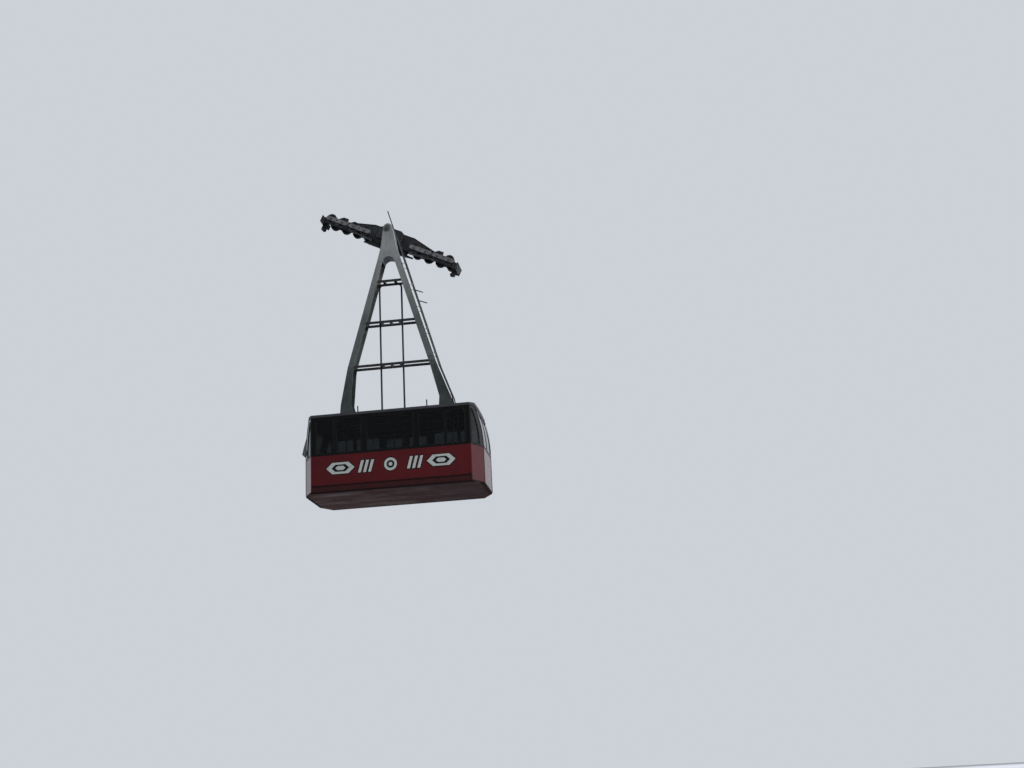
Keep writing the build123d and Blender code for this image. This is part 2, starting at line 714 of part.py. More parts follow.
def ladder():
    """Ladder outside the right leg, its near rail running on above the head, and rungs in the leg's foot."""
    near = HEAD_Y[0] + FLANGE / 2
    far = HEAD_Y[1] - FLANGE / 2
    foot = FOOT_SEAT + LADDER_FOOT
    knee = FOOT_SEAT + LEG_SECTIONS[0][0]
    lean = ladder_x(foot) - ladder_x(foot + 1)
    rail_half = LADDER_RAIL_R * hypot(1, lean)
    piece = Part()
    for y, top in ((near, PIVOT_Z + SPIKE_TOP), (far, PIVOT_Z + LADDER_TOP)):
        piece += rod((ladder_x(foot), y, foot), (ladder_x(top), y, top), LADDER_RAIL_R)
        for share in STAND_OFFS:
            z = knee + share * (PIVOT_Z + TOP_DROP - knee)
            width = leg_at(z)[2]
            start = leg_at(z - STAND_OFF_R)[0] + width / 2 + SEAT_GAP
            end = ladder_x(z) - rail_half - STAND_OFF_R * lean - SEAT_GAP
            piece += rod((start, y, z), (end, y, z), STAND_OFF_R)
    between = (near + LADDER_RAIL_R + SEAT_GAP, far - LADDER_RAIL_R - SEAT_GAP)
    for step in range(int((PIVOT_Z + LADDER_TOP - foot) / RUNG_PITCH)):
        z = foot + (step + 0.5) * RUNG_PITCH
        piece += rod_y(ladder_x(z), z, between, RUNG_R)
    for step in range(1, FOOT_RUNGS + 1):
        z = foot - step * RUNG_PITCH
        x, y, width = leg_at(z)
        half = HANGER_DEPTH / 2 - FLANGE - SEAT_GAP - abs(leg_at(z - RUNG_R)[1] - y)
        piece += rod_y(x + width / 2 - FOOT_RUNG_INSET, z, (y - half, y + half), RUNG_R)
    for drop, slope, length in SIGNAL_RODS:
        z = PIVOT_Z + drop
        x = ladder_x(z) + rail_half + (lean - slope) * SIGNAL_ROD_R / hypot(1, slope) + SEAT_GAP
        piece += rod((x, near, z), (x + length, near, z + slope * length), SIGNAL_ROD_R)
    return piece


def roof_feet():
    """Pads under the hanger's feet."""
    long, wide = FOOT_PAD
    middle = LEG_SECTIONS[-1][1]
    pad = box((middle - long, middle + long), (-wide, wide), (ROOF_Z, FOOT_SEAT))
    pads = pad + mirror_x(pad)
    radius, height = ROOF_POST
    for x, y in ROOF_POSTS:
        pads += rod((x, y, ROOF_Z), (x, y, ROOF_Z + ROOF_CROWN + height), radius)
    return above_roof(pads)


# Carriage
def beam_outline(inset=0, past=0):
    """Main beam seen from the side; past carries it beyond its ends."""
    half = BEAM_HALF + past
    top_slope = (BEAM_TOP - BEAM_END_TOP) / (BEAM_HALF - BEAM_TOP_HALF)
    low_slope = (BEAM_END_BOTTOM - BEAM_BOTTOM) / (BEAM_HALF - BEAM_TOP_HALF)
    end_top = BEAM_END_TOP - inset - past * top_slope
    end_low = BEAM_END_BOTTOM + inset + past * low_slope
    top = BEAM_TOP - inset
    low = BEAM_BOTTOM + inset
    return [(-half, end_low), (-BEAM_TOP_HALF, low), (BEAM_TOP_HALF, low), (half, end_low),
            (half, end_top), (BEAM_TOP_HALF, top), (-BEAM_TOP_HALF, top), (-half, end_top)]


def main_beam():
    """Box girder with its rocker pins and the bracket that carries the pivot outboard of the wheels."""
    wide = BEAM_HALF_WIDTH
    pins = wide + ROCKER_PIN_PAST
    beam = plate_y(beam_outline(), (-wide, wide))
    beam -= plate_y(beam_outline(BEAM_PLATE, BEAM_PLATE), (-wide + BEAM_PLATE, wide - BEAM_PLATE))
    for s in (-ROCKER_PIN, ROCKER_PIN):
        beam += rod_y(s, ROCKER_PIN_N, (-pins, pins), ROCKER_PIN_R)
    low, high = BRACKET_N
    inner = BRACKET_HALF - BEAM_PLATE
    bracket = box((-BRACKET_HALF, BRACKET_HALF), (-BRACKET_REACH, -wide), BRACKET_N)
    bracket -= box((-inner, inner), (-BRACKET_REACH + BEAM_PLATE, -wide), (low - 1, high - BEAM_PLATE))
    cheek = CHEEK + [(-s, n) for s, n in reversed(CHEEK)]
    bracket += plate_y(cheek, (-BRACKET_REACH, -BRACKET_REACH + BEAM_PLATE))
    bore = rod_y(0, PIVOT_N, (-2 * BRACKET_REACH, 2 * wide), SHAFT_R)
    return on_rope(beam + bracket - bore)


def rope_brake():
    """A jaw over each track, hung from the beam's sides."""
    middle = TRACK_GAUGE / 2
    span = (-BRAKE_HALF, BRAKE_HALF)
    jaw = box(span, (BEAM_HALF_WIDTH, middle + JAW_HALF), BRAKE_ARM_N)
    jaw += box(span, (middle - JAW_HALF, middle + JAW_HALF), (-JAW_DEPTH, BRAKE_ARM_N[1]))
    jaw -= box((-BRAKE_HALF - 1, BRAKE_HALF + 1), (middle - JAW_OPEN, middle + JAW_OPEN),
               (-JAW_DEPTH - 1, JAW_ROOF))
    return on_rope(jaw + mirror_y(jaw))


def haul_sockets():
    """Lug under the beam and a tapered socket at each of its ends."""
    height = -HAUL_ROPE_DROP
    lug = box((-SOCKET_START, SOCKET_START), (-LUG_HALF, LUG_HALF),
              (height - LUG_DEPTH, BEAM_BOTTOM - SEAT_GAP))
    wide, narrow = SOCKET_R
    start = SOCKET_START + SEAT_GAP
    length = SOCKET_END - start
    cone = Pos(start + length / 2, 0, height) * Rot(0, 90, 0) * Cone(wide, narrow, length)
    bore = HAUL_ROPE_D / 2 + SOCKET_PLAY
    cone -= rod((SOCKET_END - SOCKET_BORE, 0, height), (SOCKET_END + 1, 0, height), bore)
    return on_rope(lug + cone + mirror_x(cone))


def slot_plate(middle, y_span):
    """Long plate with round ends over two axles."""
    flat = Plane.XZ * SlotCenterToCenter(2 * TRUCK_HALF - TRUCK_HEIGHT, TRUCK_HEIGHT)
    return Pos(middle, y_span[0], WHEEL_N) * extrude(flat, amount=y_span[1] - y_span[0], dir=(0, 1, 0))


def truck(middle):
    """Two plates beside each side's wheels with their axles and tie."""
    rope = TRACK_GAUGE / 2
    inner = WHEEL_WIDTH / 2 + SIDE_GAP
    outer = inner + TRUCK_PLATE
    frame = slot_plate(middle, (rope - outer, rope - inner))
    frame += slot_plate(middle, (rope + inner, rope + outer))
    frame += box((middle - TIE_HALF, middle + TIE_HALF), (rope - inner, rope + inner),
                 (WHEEL_N + TIE_RISE[0], WHEEL_N + TIE_RISE[1]))
    frame -= rod_y(middle, WHEEL_N, (rope - outer - 1, rope + outer + 1), TRUCK_PIN_R + RUNNING_GAP)
    for step in (-0.5, 0.5):
        frame += rod_y(middle + step * WHEEL_PITCH, WHEEL_N, (rope - outer, rope + outer + AXLE_PAST), AXLE_R)
    return on_rope(frame + mirror_y(frame))


def rockers():
    """A balance beam on each side at each end, with the pins that carry its two trucks."""
    start = TRUCK_CENTRES[0] - ROCKER_END
    end = TRUCK_CENTRES[1] + ROCKER_END
    low = WHEEL_N - ROCKER_DEPTH / 2
    high = WHEEL_N + ROCKER_DEPTH / 2
    eye_half, eye_rise = ROCKER_EYE
    eye_top = ROCKER_PIN_N + eye_rise
    lug_start, lug_end, lug_slant, lug_top = STOP_LUG
    y_span = (BEAM_HALF_WIDTH + ROCKER_OUT, BEAM_HALF_WIDTH + ROCKER_OUT + ROCKER_PLATE)
    outline = [(start, low), (end, low), (end, high), (ROCKER_PIN + lug_end, high),
               (ROCKER_PIN + lug_end - lug_slant, lug_top), (ROCKER_PIN + lug_start + lug_slant, lug_top),
               (ROCKER_PIN + eye_half, eye_top), (ROCKER_PIN - eye_half, eye_top), (start, high)]
    beam = plate_y(outline, y_span)
    beam -= rod_y(ROCKER_PIN, ROCKER_PIN_N, (0, 2 * y_span[1]), ROCKER_PIN_R + RUNNING_GAP)
    reach = TRACK_GAUGE / 2 + WHEEL_WIDTH / 2 + SIDE_GAP + TRUCK_PLATE + AXLE_PAST
    for s in TRUCK_CENTRES:
        beam += rod_y(s, WHEEL_N, (y_span[0], reach), TRUCK_PIN_R)
    pair = beam + mirror_y(beam)
    return on_rope(pair + mirror_x(pair))


def grooved_wheel():
    """Wheel about the Y axis with a straight-sided groove, a dished web and a hub."""
    half = WHEEL_WIDTH / 2
    face = half + WHEEL_HUB_OVER
    web = WHEEL_WEB / 2
    hub = AXLE_R + WHEEL_HUB
    rim = TREAD_R - WHEEL_RIM
    profile = [(AXLE_R + RUNNING_GAP, face), (hub, face), (hub, web), (rim, web), (rim, half), (WHEEL_R, half),
               (WHEEL_R, GROOVE_HALF), (TREAD_R, GROOVE_FLOOR)]
    outline = profile + [(radius, -y) for radius, y in reversed(profile)]
    return revolve(make_face(Polyline(outline, close=True)), axis=Axis.Y)


def track_wheel(place, side):
    """One track wheel on its axle."""
    return on_rope(Pos(place, side * TRACK_GAUGE / 2, WHEEL_N) * grooved_wheel())


def haul_roller(end):
    """Small roller hung low at the carriage's end."""
    half = ROLLER_WIDTH / 2
    bore = ROLLER_PIN_R + RUNNING_GAP
    outline = [(bore, -half), (ROLLER_RIM, -half), (ROLLER_TREAD, -half / 3), (ROLLER_TREAD, half / 3),
               (ROLLER_RIM, half), (bore, half)]
    roller = revolve(make_face(Polyline(outline, close=True)), axis=Axis.Y)
    return on_rope(Pos(end * ROLLER_REACH, 0, -ROLLER_DROP) * roller)


def end_brackets():
    """Cross plate at each end on two arms, with guide shoes over the tracks and the roller's fork."""
    rope = TRACK_GAUGE / 2
    inner = rope - WHEEL_WIDTH / 2 - SIDE_GAP - TRUCK_PLATE
    face = END_REACH + END_PLATE
    arm = box((TRUCK_CENTRES[1] + ARM_START, END_REACH), (inner - ARM_PLATE, inner),
              (WHEEL_N + ARM_RISE[0], WHEEL_N + ARM_RISE[1]))
    plate = box((END_REACH, face), (-rope - END_PAST_ROPE, rope + END_PAST_ROPE), END_N)
    way = box((END_REACH - SHOE_LENGTH - 1, face + 1), (rope - SHOE_OPEN, rope + SHOE_OPEN),
              (SHOE_N[0] - 1, SHOE_ROOF))
    shoe = box((END_REACH - SHOE_LENGTH, face), (rope - SHOE_HALF, rope + SHOE_HALF), SHOE_N)
    ear_in = ROLLER_WIDTH / 2 + SIDE_GAP
    ear = box((ROLLER_REACH - EAR_HALF, END_REACH), (ear_in, ear_in + EAR_PLATE),
              (-ROLLER_DROP - EAR_HALF, EAR_TOP))
    pin_end = ear_in + EAR_PLATE + AXLE_PAST
    frame = plate + rod_y(ROLLER_REACH, -ROLLER_DROP, (-pin_end, pin_end), ROLLER_PIN_R)
    for piece in (arm, shoe, ear):
        frame += piece + mirror_y(piece)
    frame = frame - way - mirror_y(way)
    return on_rope(frame + mirror_x(frame))


# Write every node
os.makedirs("parts", exist_ok=True)
for name, piece in {"floor_pan": floor_pan(), "roof_shell": roof_shell(), "roof_hatch": roof_hatch(),
                    "near_side": side_wall(SIDE_BAYS), "far_side": far_side(),
                    "uphill_end": mirror_x(end_panel(UPHILL_BAYS)), "downhill_end": end_panel(DOWNHILL_BAYS),
                    "near_glass": side_glass(SIDE_BAYS), "vent_window": vent_window(),
                    "far_glass": mirror_y(side_glass(FAR_BAYS)),
                    "door_rail": door_rail(), "rub_rails": rub_rails(),
                    "grab_rails": grab_rails(), "control_desk": control_desk()}.items():
    save(name, in_cabin(piece))

corner = corner_panel()
corner_pair = corner + mirror_y(corner)
save("downhill_corners", in_cabin(corner_pair))
save("uphill_corners", in_cabin(mirror_x(corner_pair)))
pane = corner_glass()
pane_pair = pane + mirror_y(pane)
save("corner_glass", in_cabin(pane_pair + mirror_x(pane_pair)))
uphill_fixed = [bay for bay in UPHILL_BAYS if bay != VENT_BAY]
save("end_glass", in_cabin(end_glass(DOWNHILL_BAYS) + mirror_x(end_glass(uphill_fixed))))
save("door_right", in_cabin(door_leaf()))
save("door_left", in_cabin(mirror_x(door_leaf())))
save("door_right_glass", in_cabin(door_glass()))
save("door_left_glass", in_cabin(mirror_x(door_glass())))

save("hanger_head", hanger_head())
right_leg = leg()
save("right_leg", right_leg)
save("left_leg", mirror_x(right_leg))
save("cross_bars", cross_bars())
save("service_hoop", service_hoop())
save("ladder", ladder())
save("roof_feet", roof_feet())

save("main_beam", main_beam())
save("pivot_shaft", pivot_shaft())
save("rope_brake", rope_brake())
save("haul_sockets", haul_sockets())
save("rockers", rockers())
save("end_brackets", end_brackets())
truck_places = sorted(end * middle for end in (-1, 1) for middle in TRUCK_CENTRES)
for number, middle in enumerate(truck_places, start=1):
    save(f"truck_{number}", truck(middle))
wheel_places = [middle + step * WHEEL_PITCH for middle in truck_places for step in (-0.5, 0.5)]
for side_name, side in ROPE_SIDES.items():
    for number, place in enumerate(wheel_places, start=1):
        save(f"{side_name}_wheel_{number}", track_wheel(place, side))
for end_name, end in ENDS.items():
    save(f"{end_name}_roller", haul_roller(end))
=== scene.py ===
import bpy
import bmesh
import json
from math import atan2, cos, hypot, pi, radians, sin, sqrt
from mathutils import Matrix, Vector


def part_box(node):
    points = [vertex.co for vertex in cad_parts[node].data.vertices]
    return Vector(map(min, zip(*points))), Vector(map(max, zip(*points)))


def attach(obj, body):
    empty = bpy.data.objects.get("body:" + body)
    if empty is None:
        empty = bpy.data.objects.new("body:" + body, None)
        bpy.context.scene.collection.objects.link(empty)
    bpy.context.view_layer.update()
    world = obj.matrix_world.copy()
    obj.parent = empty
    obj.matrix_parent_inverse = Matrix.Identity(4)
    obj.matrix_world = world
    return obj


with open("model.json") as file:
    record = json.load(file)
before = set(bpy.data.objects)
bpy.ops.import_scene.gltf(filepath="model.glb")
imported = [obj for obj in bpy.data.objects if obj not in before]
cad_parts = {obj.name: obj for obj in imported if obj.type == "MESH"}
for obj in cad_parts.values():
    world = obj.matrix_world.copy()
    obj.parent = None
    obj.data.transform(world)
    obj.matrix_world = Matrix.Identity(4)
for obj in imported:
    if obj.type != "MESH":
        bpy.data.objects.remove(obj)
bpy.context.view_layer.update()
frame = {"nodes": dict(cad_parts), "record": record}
NODES = frame["nodes"]

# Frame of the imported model, in metres: +X downhill, +Y door side, +Z up, origin on the carriage's middle line
SLOPE = radians(26.0)
PIVOT = Vector((0.0, -0.63, 0.35))
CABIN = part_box("floor_pan")
CABIN_LOW = CABIN[0].z
HALF_LENGTH = CABIN[1].x
HALF_WIDTH = CABIN[1].y
SIDE_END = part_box("near_side")[1].x
WALL_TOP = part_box("near_side")[1].z
DECK = CABIN[1].z
WALL = 0.045
CORNER_X = 0.30
END_EDGE = 0.70
END_RAKE = 0.17
RAKE_START = 1.20
WALL_HEIGHT = WALL_TOP - CABIN_LOW
RAKE_R = ((WALL_HEIGHT - RAKE_START) ** 2 + END_RAKE ** 2) / (2 * END_RAKE)
ROOF_CROWN = 0.07
SIDE_HEIGHT = 2.35
CROWN_R = (HALF_WIDTH ** 2 + ROOF_CROWN ** 2) / (2 * ROOF_CROWN)

# Heights above the cabin's bottom, and the windows' bays along the walls
BELT = 1.115
PANEL_JOINT = 0.77
SKIRT = 0.235
SILL = 1.165
HEAD = 2.175
DOOR_HALF = 0.68
NEAR_BAYS = [(-2.2, -1.68), (-1.6, -0.86), (-DOOR_HALF, DOOR_HALF), (0.86, 1.6), (1.68, 2.2)]
FAR_BAYS = [bay for bay in NEAR_BAYS if bay[1] != DOOR_HALF]
END_BAYS = [(-0.64, -0.02), (0.02, 0.64)]
DOOR_FACE = HALF_WIDTH - WALL - 0.010
DOOR_EDGE = 0.003
DOOR_WINDOW = (0.083, 0.64, SILL, 2.09)
WINDOW_R = 0.03
CORNER_LOW = 0.06
CORNER_CLEAR = 0.09

# Hanger
HEAD_FRONT = -0.845
HEAD_BACK = -0.415
CAP_FACE = -0.894
HUB_R = 0.105
BAR_HEIGHTS = (-1.385, -2.70, -4.05)
BAR_HALF = 0.16
HOOP_X = 0.34
HOOP_R = 0.028
HANGER_Y = -0.63
FOOT_X = 1.515
FOOT_TOP = -5.475
LEG_LINE = ((-0.75, 0.274), (-3.92, 1.186), (-4.05, 1.228))
RAIL_LINE = ((0.91, 0.016), (-4.225, 1.452))
RAIL_WAY = Vector((RAIL_LINE[0][1] - RAIL_LINE[1][1], 0, RAIL_LINE[0][0] - RAIL_LINE[1][0])).normalized()
RAIL_R = 0.017
RAIL_OUT = 0.065
FLANGE_Y = 0.207
LEG_FOOT = ((-5.055, 1.657, -0.186), (-5.475, 1.750, 0.0))
STAND_OFFS = (0.03, 0.27, 0.5, 0.73, 0.96)

# Carriage, along its slope and up from its middle line
WHEEL_N = 0.1625
WHEEL_PITCH = 0.39
TREAD_R = 0.140
TRUCKS = (-1.860, -1.065, 1.065, 1.860)
TRUCK_HALF = 0.37
TRUCK_RISE = 0.07
TRUCK_FACE = 0.317
TRACK_Y = 0.25
BEAM_Y = 0.12
BEAM_END = 1.5295
BEAM_TOP = (0.68, 0.51, 0.30)
BEAM_LOW = (0.68, 0.03, 0.09)
ROLLER_S = 2.25
ROLLER_N = -0.17
SOCKETS = (0.64, 0.86)
HAUL_N = -0.095
END_FACE = 2.37

# Camera of the photograph
CAMERA_POS = (7.850, -36.424, -16.308)
CAMERA_YAW = radians(6.821)
CAMERA_PITCH = radians(17.463)
CAMERA_ROLL = radians(-3.058)
FOCAL_PX = 1285.8
FRAME_PX = 1024
SENSOR_MM = 36.0
FLOOR_DROP = 0.08


def colour(red, green, blue):
    """Linear colour from one written as 0 to 255 on screen."""
    def linear(value):
        value /= 255
        return value / 12.92 if value <= 0.04045 else ((value + 0.055) / 1.055) ** 2.4
    return (linear(red), linear(green), linear(blue), 1.0)


def add_object(name, data):
    item = bpy.data.objects.new(name, data)
    bpy.context.scene.collection.objects.link(item)
    return item


def wire(tree, socket, value):
    """Give a socket a number, a colour or another node's output."""
    if isinstance(value, bpy.types.NodeSocket):
        tree.links.new(value, socket)
    else:
        socket.default_value = value


def add_node(tree, kind, inputs, output=0, **options):
    """Output of a new node with these inputs, by name or number, and options."""
    item = tree.nodes.new(kind)
    for name, value in options.items():
        setattr(item, name, value)
    for key, value in inputs.items():
        wire(tree, item.inputs[key], value)
    return item.outputs[output]


# Node materials
class Paint:
    """A material with short calls for its nodes; positions are those of the frame at rest."""

    def __init__(self, name, base, rough, metal=0.0, coat=0.0, specular=0.5):
        self.material = bpy.data.materials.new(name)
        self.material.use_nodes = True
        self.tree = self.material.node_tree
        self.shader = self.tree.nodes["Principled BSDF"]
        self.set("Base Color", base)
        self.set("Roughness", rough)
        self.set("Metallic", metal)
        self.set("Specular IOR Level", specular)
        if coat:
            self.set("Coat Weight", coat)
            self.set("Coat Roughness", 0.06)
        self.place = self.node("ShaderNodeTexCoord", {}, "Object")

    def set(self, name, value):
        wire(self.tree, self.shader.inputs[name], value)

    def node(self, kind, inputs, output=0, **options):
        return add_node(self.tree, kind, inputs, output, **options)

    def noise(self, scale, detail=3.0, stretch=(1, 1, 1), low=0.35, high=0.65, rough=0.6):
        """Clouds between 0 and 1, widened so that low and below is 0 and high and above is 1."""
        place = self.node("ShaderNodeVectorMath", {0: self.place, 1: stretch}, operation="MULTIPLY")
        clouds = {"Vector": place, "Scale": scale, "Detail": detail, "Roughness": rough}
        return self.ramp(self.node("ShaderNodeTexNoise", clouds), low, high)

    def ramp(self, value, low, high, start=0.0, end=1.0):
        ends = {"Value": value, "From Min": low, "From Max": high, "To Min": start, "To Max": end}
        return self.node("ShaderNodeMapRange", ends)

    def along(self, axis):
        """One coordinate of the place, by its name."""
        return self.node("ShaderNodeSeparateXYZ", {0: self.place}, axis)

    def maths(self, operation, first, second=0.0):
        return self.node("ShaderNodeMath", {0: first, 1: second}, operation=operation)

    def mix(self, share, first, second):
        return self.node("ShaderNodeMix", {0: share, 6: first, 7: second}, 2, data_type="RGBA")

    def bump(self, height, strength, distance=0.002):
        relief = {"Height": height, "Strength": strength, "Distance": distance}
        self.set("Normal", self.node("ShaderNodeBump", relief))


RED = colour(86, 23, 28)
RED_DEEP = colour(74, 21, 25)
# Darkened red: dirt runs, panel joints, and the painted shade on the skirt and the floor pan's sides
RED_SHADE_AND_DIRT = colour(47, 23, 24)
BLACK = colour(6, 6, 7)
GRIME = colour(52, 46, 42)
GLASS_TINT = (0.11, 0.125, 0.13, 1.0)


def livery_material(name, coat, high_coat, shade_and_dirt=1.0):
    """Red below the belt, black above, a skirt darkened with painted shade and streaks of dirt, and a coat of
    gloss that may grow above the belt.
    """
    paint = Paint(name, RED, 0.3, coat=coat, specular=0.1)
    edge = CABIN_LOW + BELT
    high = paint.ramp(paint.along("Z"), edge - 0.002, edge + 0.002)
    if coat != high_coat:
        paint.set("Coat Weight", paint.ramp(high, 0, 1, coat, high_coat))
    red = paint.mix(paint.noise(1.3, 4, low=0.3, high=0.75), RED, RED_DEEP)
    # Painted shade: the skirt below the rub rail is darkened, with streaks of dirt in it
    skirt = paint.ramp(paint.along("Z"), CABIN_LOW + SKIRT + 0.03, CABIN_LOW + SKIRT - 0.03)
    streaks = paint.noise(6.0, 5, stretch=(1, 1, 0.12), low=0.35, high=0.7)
    skirt_shade_and_dirt = paint.maths("MULTIPLY", skirt, paint.ramp(streaks, 0, 1, 0.7 * shade_and_dirt, shade_and_dirt))
    red = paint.mix(skirt_shade_and_dirt, red, RED_SHADE_AND_DIRT)
    runs = paint.noise(9.0, 4, stretch=(1, 1, 0.05), low=0.56, high=0.8)
    red = paint.mix(paint.maths("MULTIPLY", runs, 0.3), red, RED_SHADE_AND_DIRT)
    past_joint = paint.maths("SUBTRACT", paint.maths("ABSOLUTE", paint.along("X")), PANEL_JOINT)
    joint = paint.ramp(paint.maths("ABSOLUTE", past_joint), 0.014, 0.005, 0.0, 0.6)
    red = paint.mix(joint, red, RED_SHADE_AND_DIRT)
    black = paint.mix(paint.noise(2.0, 4), BLACK, colour(11, 11, 12))
    paint.set("Base Color", paint.mix(high, red, black))
    paint.set("Roughness", paint.ramp(paint.noise(14, 4), 0, 1, 0.24, 0.36))
    paint.bump(paint.noise(0.9, 2, low=0.2, high=0.8), 0.1, 0.008)
    return paint.material


def roof_material():
    paint = Paint("roof_paint", colour(48, 50, 55), 0.5, specular=0.25)
    clouds = paint.noise(2.2, 5, low=0.3, high=0.7)
    base = paint.mix(clouds, colour(46, 47, 53), colour(58, 60, 64))
    stains = paint.noise(5.0, 6, stretch=(1, 0.4, 1), low=0.55, high=0.75)
    base = paint.mix(paint.maths("MULTIPLY", stains, 0.6), base, GRIME)
    paint.set("Base Color", base)
    paint.set("Roughness", paint.ramp(clouds, 0, 1, 0.4, 0.6))
    paint.bump(paint.noise(30, 3), 0.15, 0.002)
    return paint.material


def floor_material():
    paint = Paint("floor_paint", RED_SHADE_AND_DIRT, 0.8, specular=0.1)
    long_streaks = paint.noise(3.0, 5, stretch=(0.22, 1, 1), low=0.42, high=0.66)
    base = paint.mix(long_streaks, colour(128, 98, 96), colour(190, 170, 165))
    # Painted shade: the underside grows darker towards the downhill end, at +X
    base = paint.mix(paint.ramp(paint.along("X"), -1.8, 1.8, 0.0, 0.72), base, colour(62, 40, 40))
    blotches = paint.noise(0.9, 5, low=0.45, high=0.66)
    base = paint.mix(paint.maths("MULTIPLY", blotches, 0.8), base, colour(80, 50, 50))
    across = paint.maths("SUBTRACT", paint.maths("ABSOLUTE", paint.along("Y")), HALF_WIDTH)
    along = paint.maths("SUBTRACT", paint.maths("ABSOLUTE", paint.along("X")), HALF_LENGTH)
    rim = paint.ramp(paint.maths("MAXIMUM", across, along), -0.13, -0.09)
    base = paint.mix(rim, base, colour(34, 25, 27))
    # Above its lowest 3 cm the floor pan's sides take the skirt's dark red: painted shade with dirt
    lip = paint.ramp(paint.along("Z"), CABIN_LOW + 0.02, CABIN_LOW + 0.03)
    base = paint.mix(lip, base, RED_SHADE_AND_DIRT)
    paint.set("Base Color", base)
    paint.bump(paint.noise(22, 4), 0.3, 0.003)
    return paint.material


def glass_material(name, rough, ior):
    """Tinted glass with a given gloss: the ends and corners show more of the sky at a flat angle."""
    paint = Paint(name, GLASS_TINT, rough)
    paint.set("Transmission Weight", 1.0)
    paint.set("IOR", ior)
    return paint.material


def worn_paint(name, base, second, grime, rough=0.5, scale=4.0, share=0.6):
    """Painted steel: two close shades, soot in patches and rain streaks."""
    paint = Paint(name, colour(*base), rough, specular=0.2)
    body = paint.mix(paint.noise(scale, 5), colour(*base), colour(*second))
    soot = paint.noise(scale * 1.7, 6, stretch=(1, 1, 0.35), low=0.5, high=0.75)
    body = paint.mix(paint.maths("MULTIPLY", soot, share), body, colour(*grime))
    paint.set("Base Color", body)
    paint.set("Roughness", paint.ramp(soot, 0, 1, rough - 0.08, rough + 0.2))
    paint.bump(paint.noise(scale * 12, 3), 0.25, 0.0015)
    return paint.material


def hanger_material():
    """Grey paint, darker and greener towards the cabin, with soot and rain streaks."""
    paint = Paint("hanger_paint", colour(104, 106, 107), 0.5, specular=0.2)
    high = paint.mix(paint.noise(2.2, 5), colour(132, 134, 135), colour(116, 119, 119))
    low = paint.mix(paint.noise(2.6, 5), colour(90, 96, 97), colour(76, 82, 81))
    base = paint.mix(paint.ramp(paint.along("Z"), -0.9, -2.6), high, low)
    soot = paint.noise(3.7, 6, stretch=(1, 1, 0.25), low=0.5, high=0.75)
    base = paint.mix(paint.maths("MULTIPLY", soot, 0.45), base, colour(46, 49, 46))
    paint.set("Base Color", base)
    paint.set("Roughness", paint.ramp(soot, 0, 1, 0.42, 0.7))
    paint.bump(paint.noise(26, 3), 0.25, 0.0015)
    return paint.material


def metal(name, base, rough, spot=0.15):
    paint = Paint(name, base, rough, metal=1.0)
    cloud = paint.noise(18, 4)
    paint.set("Roughness", paint.ramp(cloud, 0, 1, rough - spot / 2, rough + spot))
    paint.bump(paint.noise(60, 2), 0.1, 0.001)
    return paint.material


def rubber_material():
    paint = Paint("rubber", colour(12, 12, 13), 0.6, specular=0.15)
    paint.set("Roughness", paint.ramp(paint.noise(20, 3), 0, 1, 0.5, 0.75))
    return paint.material


def ornament_material(name, base):
    paint = Paint(name, base, 0.35, specular=0.12)
    worn = paint.noise(12, 5, low=0.55, high=0.75)
    paint.set("Base Color", paint.mix(paint.maths("MULTIPLY", worn, 0.35), base, GRIME))
    return paint.material


MATERIALS = {
    "red_panel": livery_material("livery", 0.0, 0.0),
    "roof_paint": roof_material(),
    "floor_paint": floor_material(),
    "tinted_glass": glass_material("tinted_glass", 0.02, 1.2),
    "hanger_paint": hanger_material(),
    "carriage_paint": worn_paint("carriage_paint", (31, 32, 35), (42, 43, 46), (18, 17, 16)),
    "truck_paint": worn_paint("truck_paint", (112, 114, 118), (92, 94, 98), (40, 38, 37)),
    "wheel_iron": worn_paint("wheel_iron", (27, 27, 29), (38, 37, 37), (15, 14, 13), scale=9),
    "galvanised": worn_paint("galvanised", (40, 42, 45), (32, 34, 36), (56, 53, 48), share=0.35),
    "shaft_steel": worn_paint("shaft_steel", (66, 67, 70), (54, 55, 58), (30, 28, 27)),
    "rail_steel": metal("rail_steel", colour(170, 172, 175), 0.3),
    "desk_plastic": worn_paint("desk_plastic", (62, 64, 68), (54, 56, 60), (40, 40, 40)),
}
RUBBER = rubber_material()
WHITE_INK = ornament_material("white_ink", colour(178, 182, 180))
BLACK_INK = ornament_material("black_ink", colour(9, 9, 10))
SATIN_BLACK = worn_paint("satin_black", (20, 21, 23), (28, 29, 30), (42, 39, 36), share=0.3)
TRIM = metal("trim", colour(92, 96, 100), 0.4)
BOLTS = metal("bolts", colour(88, 88, 86), 0.45)
MAT = worn_paint("floor_mat", (38, 38, 40), (50, 49, 49), (66, 60, 54), rough=0.7)
LAMP = worn_paint("lamp_cover", (205, 206, 200), (190, 192, 188), (150, 148, 140), share=0.2)
END_LIVERY = livery_material("end_livery", 0.48, 0.9)
CORNER_LIVERY = livery_material("corner_livery", 0.8, 1.0, 0.25)
END_GLASS = glass_material("end_tinted_glass", 0.03, 1.45)
OWN_LOOKS = {"uphill_end": END_LIVERY, "downhill_end": END_LIVERY, "uphill_corners": CORNER_LIVERY,
             "downhill_corners": CORNER_LIVERY, "end_glass": END_GLASS, "corner_glass": END_GLASS,
             "vent_window": END_GLASS, "cross_bars": MATERIALS["galvanised"]}


